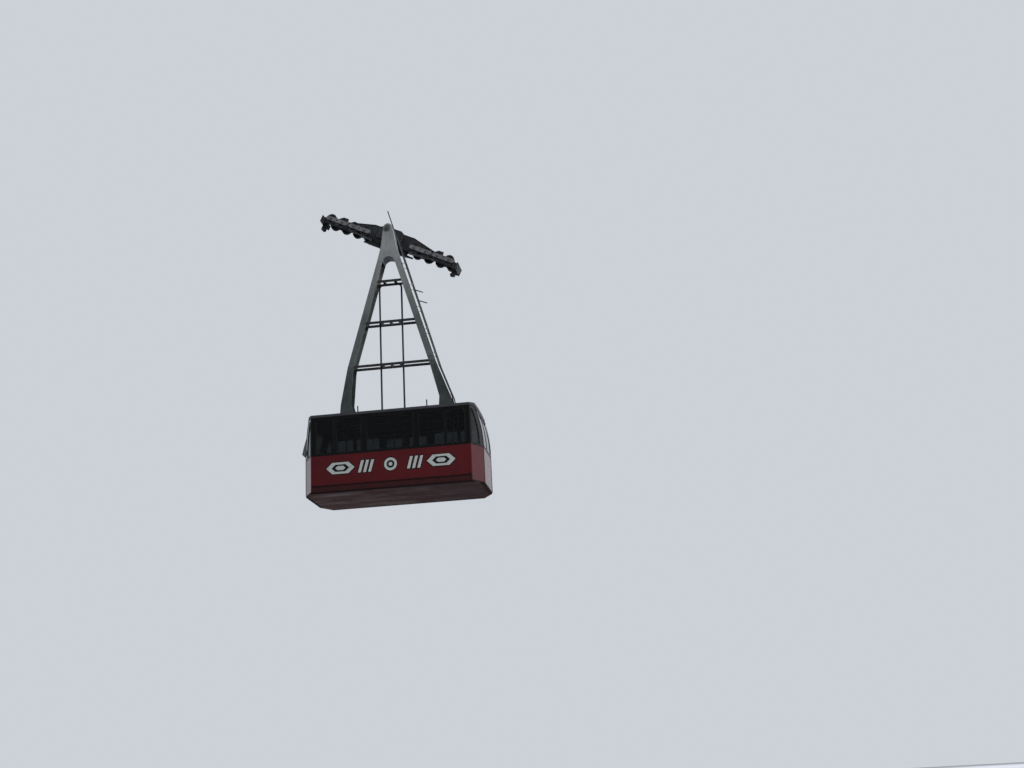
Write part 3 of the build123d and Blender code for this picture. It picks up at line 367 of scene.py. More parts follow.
def dress_nodes():
    """Give every node its material, and every node but the glass a small bevel that catches the light."""
    for row in frame["record"]["subparts"]:
        node = NODES[row["node"]]
        node.data.materials.clear()
        node.data.materials.append(OWN_LOOKS.get(row["node"], MATERIALS[row["material_slot"]]))
        if row["material_slot"] == "tinted_glass":
            continue
        edge = node.modifiers.new("edge", "BEVEL")
        edge.width = 0.003
        edge.segments = 2
        edge.limit_method = "ANGLE"
        edge.angle_limit = radians(40)
        edge.harden_normals = True


dress_nodes()


# New pieces
X = Vector((1, 0, 0))
Y = Vector((0, 1, 0))
Z = Vector((0, 0, 1))


CORNERS = [(end, side) for end in (-1, 1) for side in (-1, 1)]


def circle(steps):
    """Even steps of a full turn."""
    return [2 * pi * step / steps for step in range(steps)]


def ring(middle, radius, across, other, sides):
    """Points round a middle, in the plane of two directions."""
    return [middle + radius * (cos(turn) * across + sin(turn) * other) for turn in circle(sides)]


class Piece:
    """One new piece in mesh code, from skins over rings of points; its slot gives its usual material."""

    def __init__(self, name, body, slot, material=None):
        self.name = name
        self.body = body
        self.slot = slot
        self.material = MATERIALS[slot] if material is None else material
        self.mesh = bmesh.new()

    def rings(self, rings, joined=False):
        """Skin over rings; joined runs the last ring into the first, otherwise both ends are closed."""
        rows = [[self.mesh.verts.new(point) for point in ring] for ring in rings]
        pairs = list(zip(rows, rows[1:]))
        if joined:
            pairs.append((rows[-1], rows[0]))
        else:
            self.mesh.faces.new(rows[0][::-1])
            self.mesh.faces.new(rows[-1])
        for first, second in pairs:
            for place, corner in enumerate(first):
                ahead = (place + 1) % len(first)
                self.mesh.faces.new((corner, first[ahead], second[ahead], second[place]))

    def turned(self, start, out, profile, sides=20, joined=False):
        """Round solid about a line, from rows of height and radius."""
        out = Vector(out).normalized()
        across = out.orthogonal().normalized()
        other = out.cross(across)
        start = Vector(start)
        rows = [ring(start + height * out, radius, across, other, sides) for height, radius in profile]
        self.rings(rows, joined)

    def collar(self, start, out, inner, outer, length, sides):
        """Ring round a bar."""
        profile = [(0, inner), (0, outer), (length, outer), (length, inner)]
        self.turned(start, out, profile, sides, joined=True)

    def bolt(self, start, out, size=0.012):
        """Hex head on its washer; size is the head's radius."""
        self.turned(start, out, [(0, 1.45 * size), (0.18 * size, 1.45 * size), (0.25 * size, 1.3 * size)], 16)
        self.turned(start, out, [(0.2 * size, size), (0.85 * size, size), (size, 0.82 * size)], 6)

    def slab(self, middle, size, chamfer=0.003, axes=(X, Y, Z)):
        """Block with chamfered edges, along its own axes."""
        long, wide, tall = (value / 2 for value in size)
        rows = []
        for height, inset in ((-tall, chamfer), (chamfer - tall, 0), (tall - chamfer, 0), (tall, chamfer)):
            a = long - inset
            b = wide - inset
            c = chamfer
            corners = [(a, b - c), (a - c, b), (c - a, b), (-a, b - c),
                       (-a, c - b), (c - a, -b), (a - c, -b), (a, c - b)]
            rows.append([Vector(middle) + u * axes[0] + v * axes[1] + height * axes[2] for u, v in corners])
        self.rings(rows)

    def tube(self, points, radius, sides=10):
        """Round bar through points."""
        points = [Vector(point) for point in points]
        runs = [(after - before).normalized() for before, after in zip(points, points[1:])]
        bends = [(first + second).normalized() for first, second in zip(runs, runs[1:])]
        ways = [runs[0]] + bends + [runs[-1]]
        across = ways[0].orthogonal().normalized()
        rows = []
        for point, way in zip(points, ways):
            across = (across - across.dot(way) * way).normalized()
            rows.append(ring(point, radius, across, way.cross(across), sides))
        self.rings(rows)

    def plate(self, wall, outline, low, high):
        """Flat plate on a wall between two heights off it."""
        self.rings([[wall(u, v, out) for u, v in outline] for out in (low, high)])

    def band(self, wall, outline, section):
        """Closed frame along an outline; its section is given outside the outline and off the wall."""
        rows = [[wall(u, v, out) for u, v in moved(outline, offset)] for offset, out in section]
        self.rings(rows, joined=True)

    def done(self):
        bmesh.ops.recalc_face_normals(self.mesh, faces=self.mesh.faces)
        data = bpy.data.meshes.new(self.name)
        self.mesh.to_mesh(data)
        self.mesh.free()
        data.materials.append(self.material)
        data.shade_smooth()
        data.set_sharp_from_angle(angle=radians(35))
        item = add_object(self.name, data)
        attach(item, self.body)


def moved(outline, distance):
    """Counter-clockwise outline carried outward."""
    result = []
    for before, here, after in zip(outline[-1:] + outline[:-1], outline, outline[1:] + outline[:1]):
        first = (Vector(here) - Vector(before)).normalized()
        second = (Vector(after) - Vector(here)).normalized()
        mitre = Vector((first.y + second.y, -first.x - second.x))
        result.append(tuple(Vector(here) + mitre * (2 * distance / mitre.length_squared)))
    return result


def rounded(left, right, low, high, radius=WINDOW_R):
    """Rectangle with round corners."""
    corners = ((right - radius, high - radius), (left + radius, high - radius),
               (left + radius, low + radius), (right - radius, low + radius))
    points = []
    for quarter, (u, v) in enumerate(corners):
        for step in range(5):
            turn = radians(90 * quarter + 22.5 * step)
            points.append((u + radius * cos(turn), v + radius * sin(turn)))
    return points


# Walls as maps from a place along, a height above the cabin's bottom and a distance off the surface
def near(u, v, out):
    return Vector((u, -HALF_WIDTH - out, CABIN_LOW + v))


def far(u, v, out):
    return Vector((u, HALF_WIDTH + out, CABIN_LOW + v))


def end_x(v):
    over = max(0.0, v - RAKE_START)
    return HALF_LENGTH - RAKE_R + sqrt(RAKE_R ** 2 - over ** 2)


def end_wall(end):
    return lambda u, v, out: Vector((end * (end_x(v) + out), u, CABIN_LOW + v))


FACET_LONG = hypot(CORNER_X, HALF_WIDTH - END_EDGE)
FACET_RUN = (CORNER_X / FACET_LONG, (HALF_WIDTH - END_EDGE) / FACET_LONG)


def facet_wall(end, side):
    """One cut corner, from the long wall's edge to the end wall's."""
    along, across = FACET_RUN
    return lambda u, v, out: Vector((end * (SIDE_END + u * along + out * across),
                                     side * (HALF_WIDTH - u * across + out * along), CABIN_LOW + v))


def door_wall(u, v, out):
    return Vector((u, DOOR_FACE + out, CABIN_LOW + v))


def roof_z(y):
    return CABIN_LOW + SIDE_HEIGHT + ROOF_CROWN - CROWN_R + sqrt(CROWN_R ** 2 - y ** 2)


# Rubber seals round the glass
SEAL = ((-0.012, -0.0115), (-0.012, 0.002), (-0.006, 0.007), (0.009, 0.007),
        (0.014, 0.003), (0.014, 0.0003), (-0.0005, 0.0003), (-0.0005, -0.0115))
DOOR_SEAL_PROUD = 0.004
DOOR_SEAL = [(offset, min(out, DOOR_SEAL_PROUD)) for offset, out in SEAL]
CURVE_STEPS = 8


def corner_outline():
    """Window of a cut corner, whose outer side follows the end wall's curve."""
    along = FACET_RUN[0]
    rise = [SILL + (HEAD - SILL) * step / CURVE_STEPS for step in range(CURVE_STEPS + 1)]
    curve = [((end_x(v) - CORNER_CLEAR - SIDE_END) / along, v) for v in rise]
    return [(CORNER_LOW, SILL)] + curve + [(CORNER_LOW, HEAD)]


def make_seals():
    walls = (("near", near, NEAR_BAYS, RUBBER), ("far", far, FAR_BAYS, RUBBER),
             ("downhill", end_wall(1), END_BAYS, END_LIVERY),
             ("uphill", end_wall(-1), END_BAYS[1:], END_LIVERY))
    for name, wall, bays, material in walls:
        piece = Piece(f"{name}_window_seals", "cabin", "desk_plastic", material)
        for left, right in bays:
            piece.band(wall, rounded(left, right, SILL, HEAD), SEAL)
        piece.done()
    piece = Piece("corner_window_seals", "cabin", "desk_plastic", RUBBER)
    for end, side in CORNERS:
        piece.band(facet_wall(end, side), corner_outline(), SEAL)
    piece.done()
    left, right, low, high = DOOR_WINDOW
    for body, span in (("right_door", (left, right)), ("left_door", (-right, -left))):
        piece = Piece(f"{body}_seal", body, "desk_plastic", RUBBER)
        piece.band(door_wall, rounded(*span, low, high), DOOR_SEAL)
        piece.done()


# Mouldings: heights above the cabin's bottom, and sections as steps along and heights off the wall
BELT_BAND = (BELT - 0.012, BELT + 0.012, 0.009)
DRIP_BAND = (2.165, 2.185, 0.014)
SILL_BAND = (0.085, 0.117, 0.012)
DOOR_MARGIN = 0.05
TRIM_LOW = 0.064
TRIM_LONG = ((-0.048, 0.0), (-0.046, 0.005), (0.002, 0.005))
TRIM_FACET = ((0.024, 0.005), (0.026, 0.0), (0.0, -0.001))
BEAD_R = 0.009
BEAD_STEPS = 12
GUTTER = ((0.0, 0.000), (0.014, 0.004), (0.018, 0.012), (0.018, 0.026), (0.014, 0.026), (0.013, 0.012),
          (0.0, 0.010))
SEAMS = (-2.1, -0.85, 0.12, 2.1)
SEAM_HALF = 0.02
SEAM_STEPS = 8
SEAM_REACH = 0.98
SEAM_SECTION = ((-0.006, -0.002), (-0.004, 0.004), (0.004, 0.004), (0.006, -0.002))
RIVET = [(0, 0.006), (0.0015, 0.0055), (0.003, 0.003)]
RIVET_SIDES = 8
RIVET_PITCH = 0.094
RIVET_ROWS = (0.085, WALL_HEIGHT - 0.02)
PILLARS = (-0.77, -1.64, 0.77, 1.64)
PILLAR_RIVETS = (1.2, 1.4, 1.6, 1.8, 2.0, 2.14)
RUB_RAIL_END = 0.04
RUB_RAIL_V = 0.2275
RUB_RAIL_OUT = 0.0105
RUB_RAIL_STOP = (0.03, 0.023, 0.049)


def strip(piece, wall, left, right, low, high, proud):
    """Low moulding with bevelled long edges."""
    edge = proud / 2
    section = ((low, 0.0), (low + edge, proud), (high - edge, proud), (high, 0.0))
    piece.rings([[wall(u, v, out) for v, out in section] for u in (left, right)])


def make_belt():
    piece = Piece("belt_moulding", "cabin", "rail_steel", RUBBER)
    edge = SIDE_END - 0.05
    door = DOOR_HALF + DOOR_MARGIN
    runs = [(near, -edge, edge), (far, -edge, -door), (far, door, edge)]
    for end in (-1, 1):
        runs.append((end_wall(end), 0.02 - END_EDGE, END_EDGE - 0.02))
        runs += [(facet_wall(end, side), 0.03, FACET_LONG - 0.02) for side in (-1, 1)]
    for wall, left, right in runs:
        strip(piece, wall, left, right, *BELT_BAND)
    piece.done()


def make_corner_trims():
    """Angle over each long wall's edge, and a bead down the edge that the corner shares with the end."""
    piece = Piece("corner_trims", "cabin", "red_panel")
    beads = Piece("corner_beads", "cabin", "red_panel", SATIN_BLACK)
    for end, side in CORNERS:
        facet = facet_wall(end, side)
        long = near if side < 0 else far
        rows = []
        for v in (TRIM_LOW, WALL_HEIGHT):
            on_long = [long(end * (SIDE_END + past), v, out) for past, out in TRIM_LONG]
            rows.append(on_long + [facet(u, v, out) for u, out in TRIM_FACET])
        piece.rings(rows)
        bead = []
        for step in range(BEAD_STEPS + 1):
            v = TRIM_LOW + (WALL_HEIGHT - TRIM_LOW) * step / BEAD_STEPS
            bead.append(facet((end_x(v) - SIDE_END) / FACET_RUN[0], v, 0.0))
        beads.tube(bead, BEAD_R)
    piece.done()
    beads.done()


def make_roof_edges():
    roof_end = HALF_LENGTH - END_RAKE
    slant = (roof_end - SIDE_END) * FACET_RUN[1] / FACET_RUN[0]
    corners = [(-SIDE_END, -HALF_WIDTH), (SIDE_END, -HALF_WIDTH), (roof_end, slant - HALF_WIDTH),
               (roof_end, HALF_WIDTH - slant), (SIDE_END, HALF_WIDTH), (-SIDE_END, HALF_WIDTH),
               (-roof_end, HALF_WIDTH - slant), (-roof_end, slant - HALF_WIDTH)]
    piece = Piece("roof_gutter", "cabin", "roof_paint")
    rows = [[Vector((x, y, WALL_TOP + rise)) for x, y in moved(corners, out)] for out, rise in GUTTER]
    piece.rings(rows, joined=True)
    piece.done()

    piece = Piece("roof_seams", "cabin", "roof_paint")
    places = [step * HALF_WIDTH * SEAM_REACH / SEAM_STEPS for step in range(-SEAM_STEPS, SEAM_STEPS + 1)]
    for x in SEAMS:
        for shift in (-SEAM_HALF, SEAM_HALF):
            rows = [[Vector((x + shift + dx, y, roof_z(y) + dz)) for dx, dz in SEAM_SECTION] for y in places]
            piece.rings(rows)
    piece.done()


def make_rivets():
    piece = Piece("panel_rivets", "cabin", "red_panel", SATIN_BLACK)

    def rivet(wall, x, v):
        start = wall(x, v, 0.0)
        piece.turned(start, wall(x, v, 1.0) - start, RIVET, RIVET_SIDES)

    count = int((SIDE_END - 0.08) / RIVET_PITCH)
    for wall in (near, far):
        for v in RIVET_ROWS:
            for step in range(-count, count + 1):
                x = step * RIVET_PITCH
                if wall is far and v < BELT and abs(x) < DOOR_HALF + DOOR_MARGIN:
                    continue
                rivet(wall, x, v)
    for x in PILLARS:
        for wall in (near, far):
            for v in PILLAR_RIVETS:
                rivet(wall, x, v)
    piece.done()


def make_rub_rail_ends():
    piece = Piece("rub_rail_ends", "cabin", "desk_plastic", RUBBER)
    edge = SIDE_END - RUB_RAIL_END
    door = DOOR_HALF + RUB_RAIL_END
    for wall, ends in ((near, (-edge, edge)), (far, (-edge, -door, door, edge))):
        for x in ends:
            piece.slab(wall(x, RUB_RAIL_V, RUB_RAIL_OUT), RUB_RAIL_STOP, 0.004)
    piece.done()


# Geometric band on the red sides
ORNAMENT_V = 0.70
ORNAMENT_LOW = 0.0003
ORNAMENT_HEIGHTS = (0.0015, 0.0024, 0.0033)
ORNAMENT_EDGE = 0.024
LOZENGE = [(-0.42, 0.0), (-0.24, -0.17), (0.24, -0.17), (0.42, 0.0), (0.24, 0.17), (-0.24, 0.17)]
LOZENGE_INNER = (0.62, 0.36)
BAR_SLANT = 0.05
BAR_WIDTH = 0.085
BAR_TALL = 0.18
BAR_PITCH = 0.15
DISC_R = 0.19
DISC_SIDES = 32
DISC = [(DISC_R * cos(turn), DISC_R * sin(turn)) for turn in circle(DISC_SIDES)]
DISC_INNER = (0.6, 0.3)


def placed(outline, u, scale=1.0):
    return [(u + scale * along, ORNAMENT_V + scale * up) for along, up in outline]


def make_ornaments(name, wall, lozenges, bars, discs):
    """White shapes with black edges: lozenges, slanted bars and discs."""
    first, second, third = ORNAMENT_HEIGHTS
    white = Piece(f"{name}_white_ornaments", "cabin", "red_panel", WHITE_INK)
    black = Piece(f"{name}_black_ornaments", "cabin", "red_panel", BLACK_INK)
    border = ((0.0, ORNAMENT_LOW), (0.0, second), (ORNAMENT_EDGE, second), (ORNAMENT_EDGE, ORNAMENT_LOW))
    shapes = [(LOZENGE, u, LOZENGE_INNER) for u in lozenges] + [(DISC, u, DISC_INNER) for u in discs]
    for u in bars:
        for step in (-1, 0, 1):
            left = step * BAR_PITCH - BAR_WIDTH / 2
            bar = [(left - BAR_SLANT, -BAR_TALL), (left + BAR_WIDTH - BAR_SLANT, -BAR_TALL),
                   (left + BAR_WIDTH + BAR_SLANT, BAR_TALL), (left + BAR_SLANT, BAR_TALL)]
            shapes.append((bar, u, ()))
    for outline, u, inner in shapes:
        white.plate(wall, placed(outline, u), ORNAMENT_LOW, first)
        black.band(wall, placed(outline, u), border)
        if inner:
            black.plate(wall, placed(outline, u, inner[0]), first, second)
            white.plate(wall, placed(outline, u, inner[1]), second, third)
    white.done()
    black.done()


# Roof fittings
HATCH_TOP = CABIN_LOW + SIDE_HEIGHT + ROOF_CROWN + 0.07
HATCH_EDGE = 0.388
HATCH_HANDLE_X = (0.7, 0.9)
HATCH_HANDLE_Y = -0.28
HATCH_HANDLE_RISE = 0.03
HATCH_HANDLE_R = 0.008
HATCH_HANDLE_FOOT = [(0, 0.02), (0.004, 0.02), (0.006, 0.016)]
HINGE_X = (0.56, 1.04)
HINGE_LONG = 0.07
STRAP_Y = 0.33
STRAP = (0.07, 0.11, 0.006)
STRAP_BOLTS_Y = (0.30, 0.35)
KNUCKLE = [(0, 0.005), (0.001, 0.006), (0.069, 0.006), (0.070, 0.005)]
KNUCKLE_DROP = 0.035
LEAF = (0.07, 0.04, 0.003)
LEAF_Y = HATCH_EDGE + 0.032
LEAF_RISE = 0.0018
FOOT_BOLTS_X = (-0.2, -0.07, 0.07, 0.2)
FOOT_BOLTS_Y = 0.245
FOOT_BOLT = 0.014


def make_hatch_fittings():
    """Handle, straps and knuckles that ride on the lid, and leaves that lie on the roof below them."""
    piece = Piece("hatch_handle", "hatch_lid", "galvanised", TRIM)
    left, right = HATCH_HANDLE_X
    raised = HATCH_TOP + HATCH_HANDLE_RISE
    bends = ((left, HATCH_TOP), (left, raised), (right, raised), (right, HATCH_TOP))
    piece.tube([(x, HATCH_HANDLE_Y, z) for x, z in bends], HATCH_HANDLE_R)
    for x in HATCH_HANDLE_X:
        piece.turned((x, HATCH_HANDLE_Y, HATCH_TOP), Z, HATCH_HANDLE_FOOT, 16)
    for x in HINGE_X:
        piece.slab((x, STRAP_Y, HATCH_TOP + STRAP[2] / 2), STRAP, 0.001)
        for y in STRAP_BOLTS_Y:
            piece.bolt((x, y, HATCH_TOP + STRAP[2]), Z, 0.008)
    piece.done()
    knuckles = Piece("hatch_knuckles", "hatch_lid", "galvanised", TRIM)
    leaves = Piece("hatch_leaves", "cabin", "galvanised", TRIM)
    fall = atan2(LEAF_Y, CROWN_R)
    down = Vector((0, cos(fall), -sin(fall)))
    for x in HINGE_X:
        start = (x - HINGE_LONG / 2, HATCH_EDGE + 0.0063, HATCH_TOP - KNUCKLE_DROP)
        knuckles.turned(start, X, KNUCKLE, 14)
        leaves.slab((x, LEAF_Y, roof_z(LEAF_Y) + LEAF_RISE), LEAF, 0.001, (X, down, X.cross(down)))
    knuckles.done()
    leaves.done()


def make_foot_bolts():
    piece = Piece("foot_bolts", "cabin", "galvanised", BOLTS)
    for end, side in CORNERS:
        for x in FOOT_BOLTS_X:
            piece.bolt((end * (FOOT_X + x), side * FOOT_BOLTS_Y, FOOT_TOP), Z, FOOT_BOLT)
    piece.done()


# Doors, whose fittings stay flat enough to slide behind the wall
HANDLE_RIM = ((-0.005, 0.002), (-0.005, 0.0035), (-0.002, 0.0045), (0.002, 0.0045), (0.004, 0.002))
DOOR_PLATE = 0.002
HANDLE_X = 0.045
HANDLE_HALF = 0.014
HANDLE_V = (0.95, 1.10)
PLATE_HALF = 0.02
PLATE_V = (0.92, 1.13)
KICK_PLATE_X = (0.06, 0.66)
KICK_PLATE_V = (0.16, 0.34)
GROOVES = 5
GROOVE_PITCH = 0.009


def make_door_fittings():
    piece = Piece("door_sill", "cabin", "rail_steel", TRIM)
    strip(piece, far, -DOOR_HALF, DOOR_HALF, *SILL_BAND)
    for step in range(GROOVES):
        y = HALF_WIDTH - 0.006 - step * GROOVE_PITCH
        piece.slab((0, y, DECK + 0.001), (2 * DOOR_HALF - 0.01, 0.004, 0.004), 0.001)
    piece.done()
    piece = Piece("door_drip_rail", "cabin", "roof_paint")
    strip(piece, far, -DOOR_HALF - 0.06, DOOR_HALF + 0.06, *DRIP_BAND)
    piece.done()
    for body, side in (("right_door", 1), ("left_door", -1)):
        piece = Piece(f"{body}_handle", body, "rail_steel", TRIM)
        x = side * HANDLE_X
        piece.band(door_wall, rounded(x - HANDLE_HALF, x + HANDLE_HALF, *HANDLE_V, 0.01), HANDLE_RIM)
        outline = rounded(x - PLATE_HALF, x + PLATE_HALF, *PLATE_V, 0.008)
        piece.plate(door_wall, outline, 0.0, DOOR_PLATE)
        left, right = sorted(side * edge for edge in KICK_PLATE_X)
        piece.plate(door_wall, rounded(left, right, *KICK_PLATE_V, 0.012), 0.0, DOOR_PLATE)
        piece.done()
        piece = Piece(f"{body}_edge", body, "desk_plastic", RUBBER)
        x = side * DOOR_EDGE + side * 0.011
        piece.slab((x, DOOR_FACE + DOOR_PLATE, CABIN_LOW + 1.149), (0.02, 0.004, 2.03), 0.001)
        piece.done()


# Inside
MAT_MIDDLE = 0.15
MAT_SIZE = (4.4, 2.0, 0.006)
MAT_RIB = (4.34, 0.014, 0.003)
MAT_RIBS = 24
MAT_PITCH = 0.04
LAMP_PLACES = [(x, y) for y in (-0.32, 0.32) for x in (-1.5, -0.5, 0.28, 1.5)]
LAMP_SIZE = (0.5, 0.12, 0.02)
GRAB_BAR = 2.05
GRAB_Y = (-0.56, 0.56)
GRAB_X = (-1.3, -0.9, -0.45, 0.45, 0.9, 1.3)
GRAB_INNER = 0.0172
GRAB_OUTER = 0.021
LOOP_R = 0.045
LOOP_DROP = 0.205
LOOP_STEPS = 16
LOOP_STRAP = (0.03, 0.004, 0.14)
LOOP_STRAP_DROP = 0.09
LOOP_CUFF = 0.036
DESK_FALL = -0.12
DESK_PANEL = (0.26, 0.38, 0.006)
BUTTON = [(0, 0.012), (0.004, 0.012), (0.006, 0.009), (0.012, 0.008), (0.013, 0.006)]
BUTTON_PITCH = (0.05, 0.055)


def make_inside():
    piece = Piece("floor_mat", "cabin", "desk_plastic", MAT)
    piece.slab((MAT_MIDDLE, 0, DECK + 0.003), MAT_SIZE, 0.002)
    for step in range(-MAT_RIBS, MAT_RIBS + 1):
        piece.slab((MAT_MIDDLE, step * MAT_PITCH, DECK + 0.0075), MAT_RIB, 0.001)
    piece.done()
    piece = Piece("ceiling_lamps", "cabin", "desk_plastic", LAMP)
    for x, y in LAMP_PLACES:
        piece.slab((x, y, roof_z(y) - 0.032), LAMP_SIZE, 0.006)
    piece.done()
    piece = Piece("grab_loops", "cabin", "desk_plastic", RUBBER)
    bar = CABIN_LOW + GRAB_BAR
    turns = circle(LOOP_STEPS) + [2 * pi]
    for y in GRAB_Y:
        for x in GRAB_X:
            piece.slab((x, y, bar - LOOP_STRAP_DROP), LOOP_STRAP, 0.001)
            piece.collar((x - LOOP_CUFF / 2, y, bar), X, GRAB_INNER, GRAB_OUTER, LOOP_CUFF, 16)
            loop = [(x + LOOP_R * sin(turn), y, bar - LOOP_DROP + LOOP_R * cos(turn)) for turn in turns]
            piece.tube(loop, 0.007, 8)
    piece.done()


def make_desk_controls():
    """Panel and buttons along the desk's sloping top."""
    piece = Piece("desk_controls", "cabin", "desk_plastic", LAMP)
    low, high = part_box("control_desk")
    fall = Vector((high.x - low.x, 0, DESK_FALL)).normalized()
    lift = fall.cross(Y) * -1
    if lift.z < 0:
        lift.negate()
    middle = Vector(((low.x + high.x) / 2, (low.y + high.y) / 2, high.z + DESK_FALL / 2))
    piece.slab(middle + 0.002 * lift, DESK_PANEL, 0.002, (fall, Y, lift))
    for row in range(3):
        for column in range(5):
            down = (row - 1) * BUTTON_PITCH[0] * fall
            aside = (column - 2) * BUTTON_PITCH[1] * Y
            piece.turned(middle + down + aside + 0.005 * lift, lift, BUTTON, 14)
    piece.done()


# Hanger fittings
SEAT = 0.0003
CAP_BOLTS = 6
CAP_BOLT_RING = 0.052
CAP_BOLT = 0.011
CAP_BOSS = [(0, 0.03), (0.006, 0.03), (0.012, 0.022), (0.014, 0.012)]
HUB_WELD = [(0.0, HUB_R), (0.0, HUB_R + 0.012), (0.006, HUB_R + 0.008), (0.010, HUB_R)]
LEG_WELD_R = 0.006
LEG_WELDS = ((LEG_LINE[0][0], 0.085), (LEG_LINE[1][0], 0.086))
BRACKET_INSET = 0.055
BRACKET = (0.075, 0.008, 0.066)
BRACKET_BOLTS = (-0.018, 0.018)
CLAMP_THICK = 0.008
CLAMP_LONG = 0.010
CLAMP_SHIFTS = (-0.022, 0.022)
HOOP_FLANGE = [(0, HOOP_R + SEAT), (0, HOOP_R + 0.016), (0.008, HOOP_R + 0.014), (0.014, HOOP_R + SEAT)]
FLANGE = 0.008
RAIL_CLAMP = 0.005
RAIL_CLAMP_LONG = 0.04
RAIL_FOOT = [(0.002, 0.034), (0.008, 0.034), (0.012, RAIL_R)]


def line_x(line, z):
    """Place along X of a line through points given as height and place, at one height."""
    for (z0, x0), (z1, x1) in zip(line, line[1:]):
        if z > z1:
            break
    return x0 + (x1 - x0) * (z0 - z) / (z0 - z1)


def make_hub_and_welds():
    piece = Piece("hub_cap_bolts", "carriage", "shaft_steel", BOLTS)
    for turn in circle(CAP_BOLTS):
        across = Vector((CAP_BOLT_RING * cos(turn), CAP_FACE - PIVOT.y, CAP_BOLT_RING * sin(turn)))
        piece.bolt(PIVOT + across, -Y, CAP_BOLT)
    piece.turned((0, CAP_FACE, PIVOT.z), -Y, CAP_BOSS, 24)
    piece.done()
    piece = Piece("hanger_welds", "cabin", "hanger_paint")
    for face, way in ((HEAD_FRONT, -1), (HEAD_BACK, 1)):
        piece.turned((0, face, PIVOT.z), way * Y, HUB_WELD, 40, joined=True)
        for side in (-1, 1):
            for z, half in LEG_WELDS:
                x = side * line_x(LEG_LINE, z)
                piece.tube([(x - half, face, z), (x + half, face, z)], LEG_WELD_R, 8)
    piece.done()


def make_bar_brackets():
    piece = Piece("bar_brackets", "cabin", "hanger_paint")
    bolts = Piece("bar_bolts", "cabin", "galvanised", BOLTS)
    for z in BAR_HEIGHTS:
        for side in (-1, 1):
            x = side * (line_x(LEG_LINE, z) - BRACKET_INSET)
            for row in (-1, 1):
                y = HANGER_Y + row * (BAR_HALF + 0.010)
                piece.slab((x, y, z), BRACKET, 0.002)
                for dx in BRACKET_BOLTS:
                    for dz in BRACKET_BOLTS:
                        bolts.bolt((x + dx, y + row * 0.004, z + dz), row * Y, 0.008)
    piece.done()
    bolts.done()


def make_hoop_clamps():
    """Two clamps on each tube at each lower bar, and a flange at its foot."""
    piece = Piece("hoop_clamps", "cabin", "galvanised", BOLTS)
    for side in (-1, 1):
        for z in BAR_HEIGHTS[1:]:
            for step in CLAMP_SHIFTS:
                start = (side * HOOP_X, HANGER_Y, z + step - CLAMP_LONG / 2)
                piece.collar(start, Z, HOOP_R + SEAT, HOOP_R + CLAMP_THICK, CLAMP_LONG, 20)
        foot = (side * HOOP_X, HANGER_Y, roof_z(HANGER_Y) + 0.027)
        piece.turned(foot, Z, HOOP_FLANGE, 20, joined=True)
    piece.done()


def make_ladder_clamps():
    piece = Piece("ladder_clamps", "cabin", "galvanised", BOLTS)
    knee = LEG_LINE[1][0]
    for share in STAND_OFFS:
        z = knee + share * (LEG_LINE[0][0] - knee)
        for y in (HEAD_FRONT + FLANGE, HEAD_BACK - FLANGE):
            start = Vector((line_x(RAIL_LINE, z), y, z)) - RAIL_CLAMP_LONG / 2 * RAIL_WAY
            piece.collar(start, RAIL_WAY, RAIL_R + SEAT, RAIL_R + RAIL_CLAMP, RAIL_CLAMP_LONG, 18)
    piece.done()


def make_ladder_foot():
    """Rails that carry the ladder on from its lower end down to the roof, beside the leg's bent foot."""
    piece = Piece("ladder_foot_rails", "cabin", "galvanised")
    low, out = RAIL_LINE[1]
    (z1, edge1, middle1), (z2, edge2, middle2) = LEG_FOOT
    for side in (-1, 1):
        top = Vector((out, HANGER_Y + side * FLANGE_Y, low))
        bend = Vector((edge1 + RAIL_OUT, middle1 + side * FLANGE_Y, z1))
        foot = Vector((edge2 + RAIL_OUT - 0.025, middle2 + side * FLANGE_Y, z2))
        foot.z = roof_z(foot.y) + SEAT
        piece.tube([top - 0.0005 * RAIL_WAY, bend, foot], RAIL_R)
        piece.collar(top - 0.025 * RAIL_WAY, RAIL_WAY, RAIL_R + SEAT, RAIL_R + RAIL_CLAMP, 0.05, 18)
        piece.tube([bend, bend - Vector((RAIL_OUT - 0.001, 0, 0))], 0.010)
        piece.turned(foot, Z, RAIL_FOOT, 20)
    piece.done()


# Carriage fittings
S = Vector((cos(SLOPE), 0, -sin(SLOPE)))
N = Vector((sin(SLOPE), 0, cos(SLOPE)))
SLOPE_FOOT = -PIVOT.z * sin(SLOPE)
RIM = ((-0.016, 0.0), (-0.014, 0.005), (-0.004, 0.005), (-0.001, 0.0))
AXLE_FITTINGS = ((0.005, 24, [(0, 0.036), (0.004, 0.036), (0.006, 0.032)]),
                 (0.009, 6, [(0, 0.026), (0.014, 0.026), (0.018, 0.021)]),
                 (0.009, 14, [(0, 0.012), (0.022, 0.012), (0.024, 0.010)]))
AXLE_BOLTS = (-0.052, 0.052)
PIN_BOLTS = (-0.03, 0.03)
LINER = [(-0.0125, TREAD_R - 0.0005), (-0.012, TREAD_R + 0.002), (0.012, TREAD_R + 0.002),
         (0.0125, TREAD_R - 0.0005)]
RIBS = 6
RIB_MIDDLE = 0.088
RIB_OUT = 0.022
RIB = (0.062, 0.010, 0.022)
STIFFENERS = (-1.3, -1.0, -0.55, 0.55, 1.0, 1.3)
STIFFENER_OUT = 0.014
STIFFENER_CLEAR = 0.02
TOP_FLANGE = (-0.002, 0.016, 0.012)
SPRINGS = (-0.365, 0.365)
SPRING_FOOT = 0.09
SPRING_TOP = 0.178
SPRING_COILS = 7
SPRING_PITCH = 0.010
SPRING_CAP = [(0.076, 0.036), (0.086, 0.036), (0.088, 0.030)]
SPRING_NUT = [(0, 0.016), (0.010, 0.016), (0.013, 0.013)]
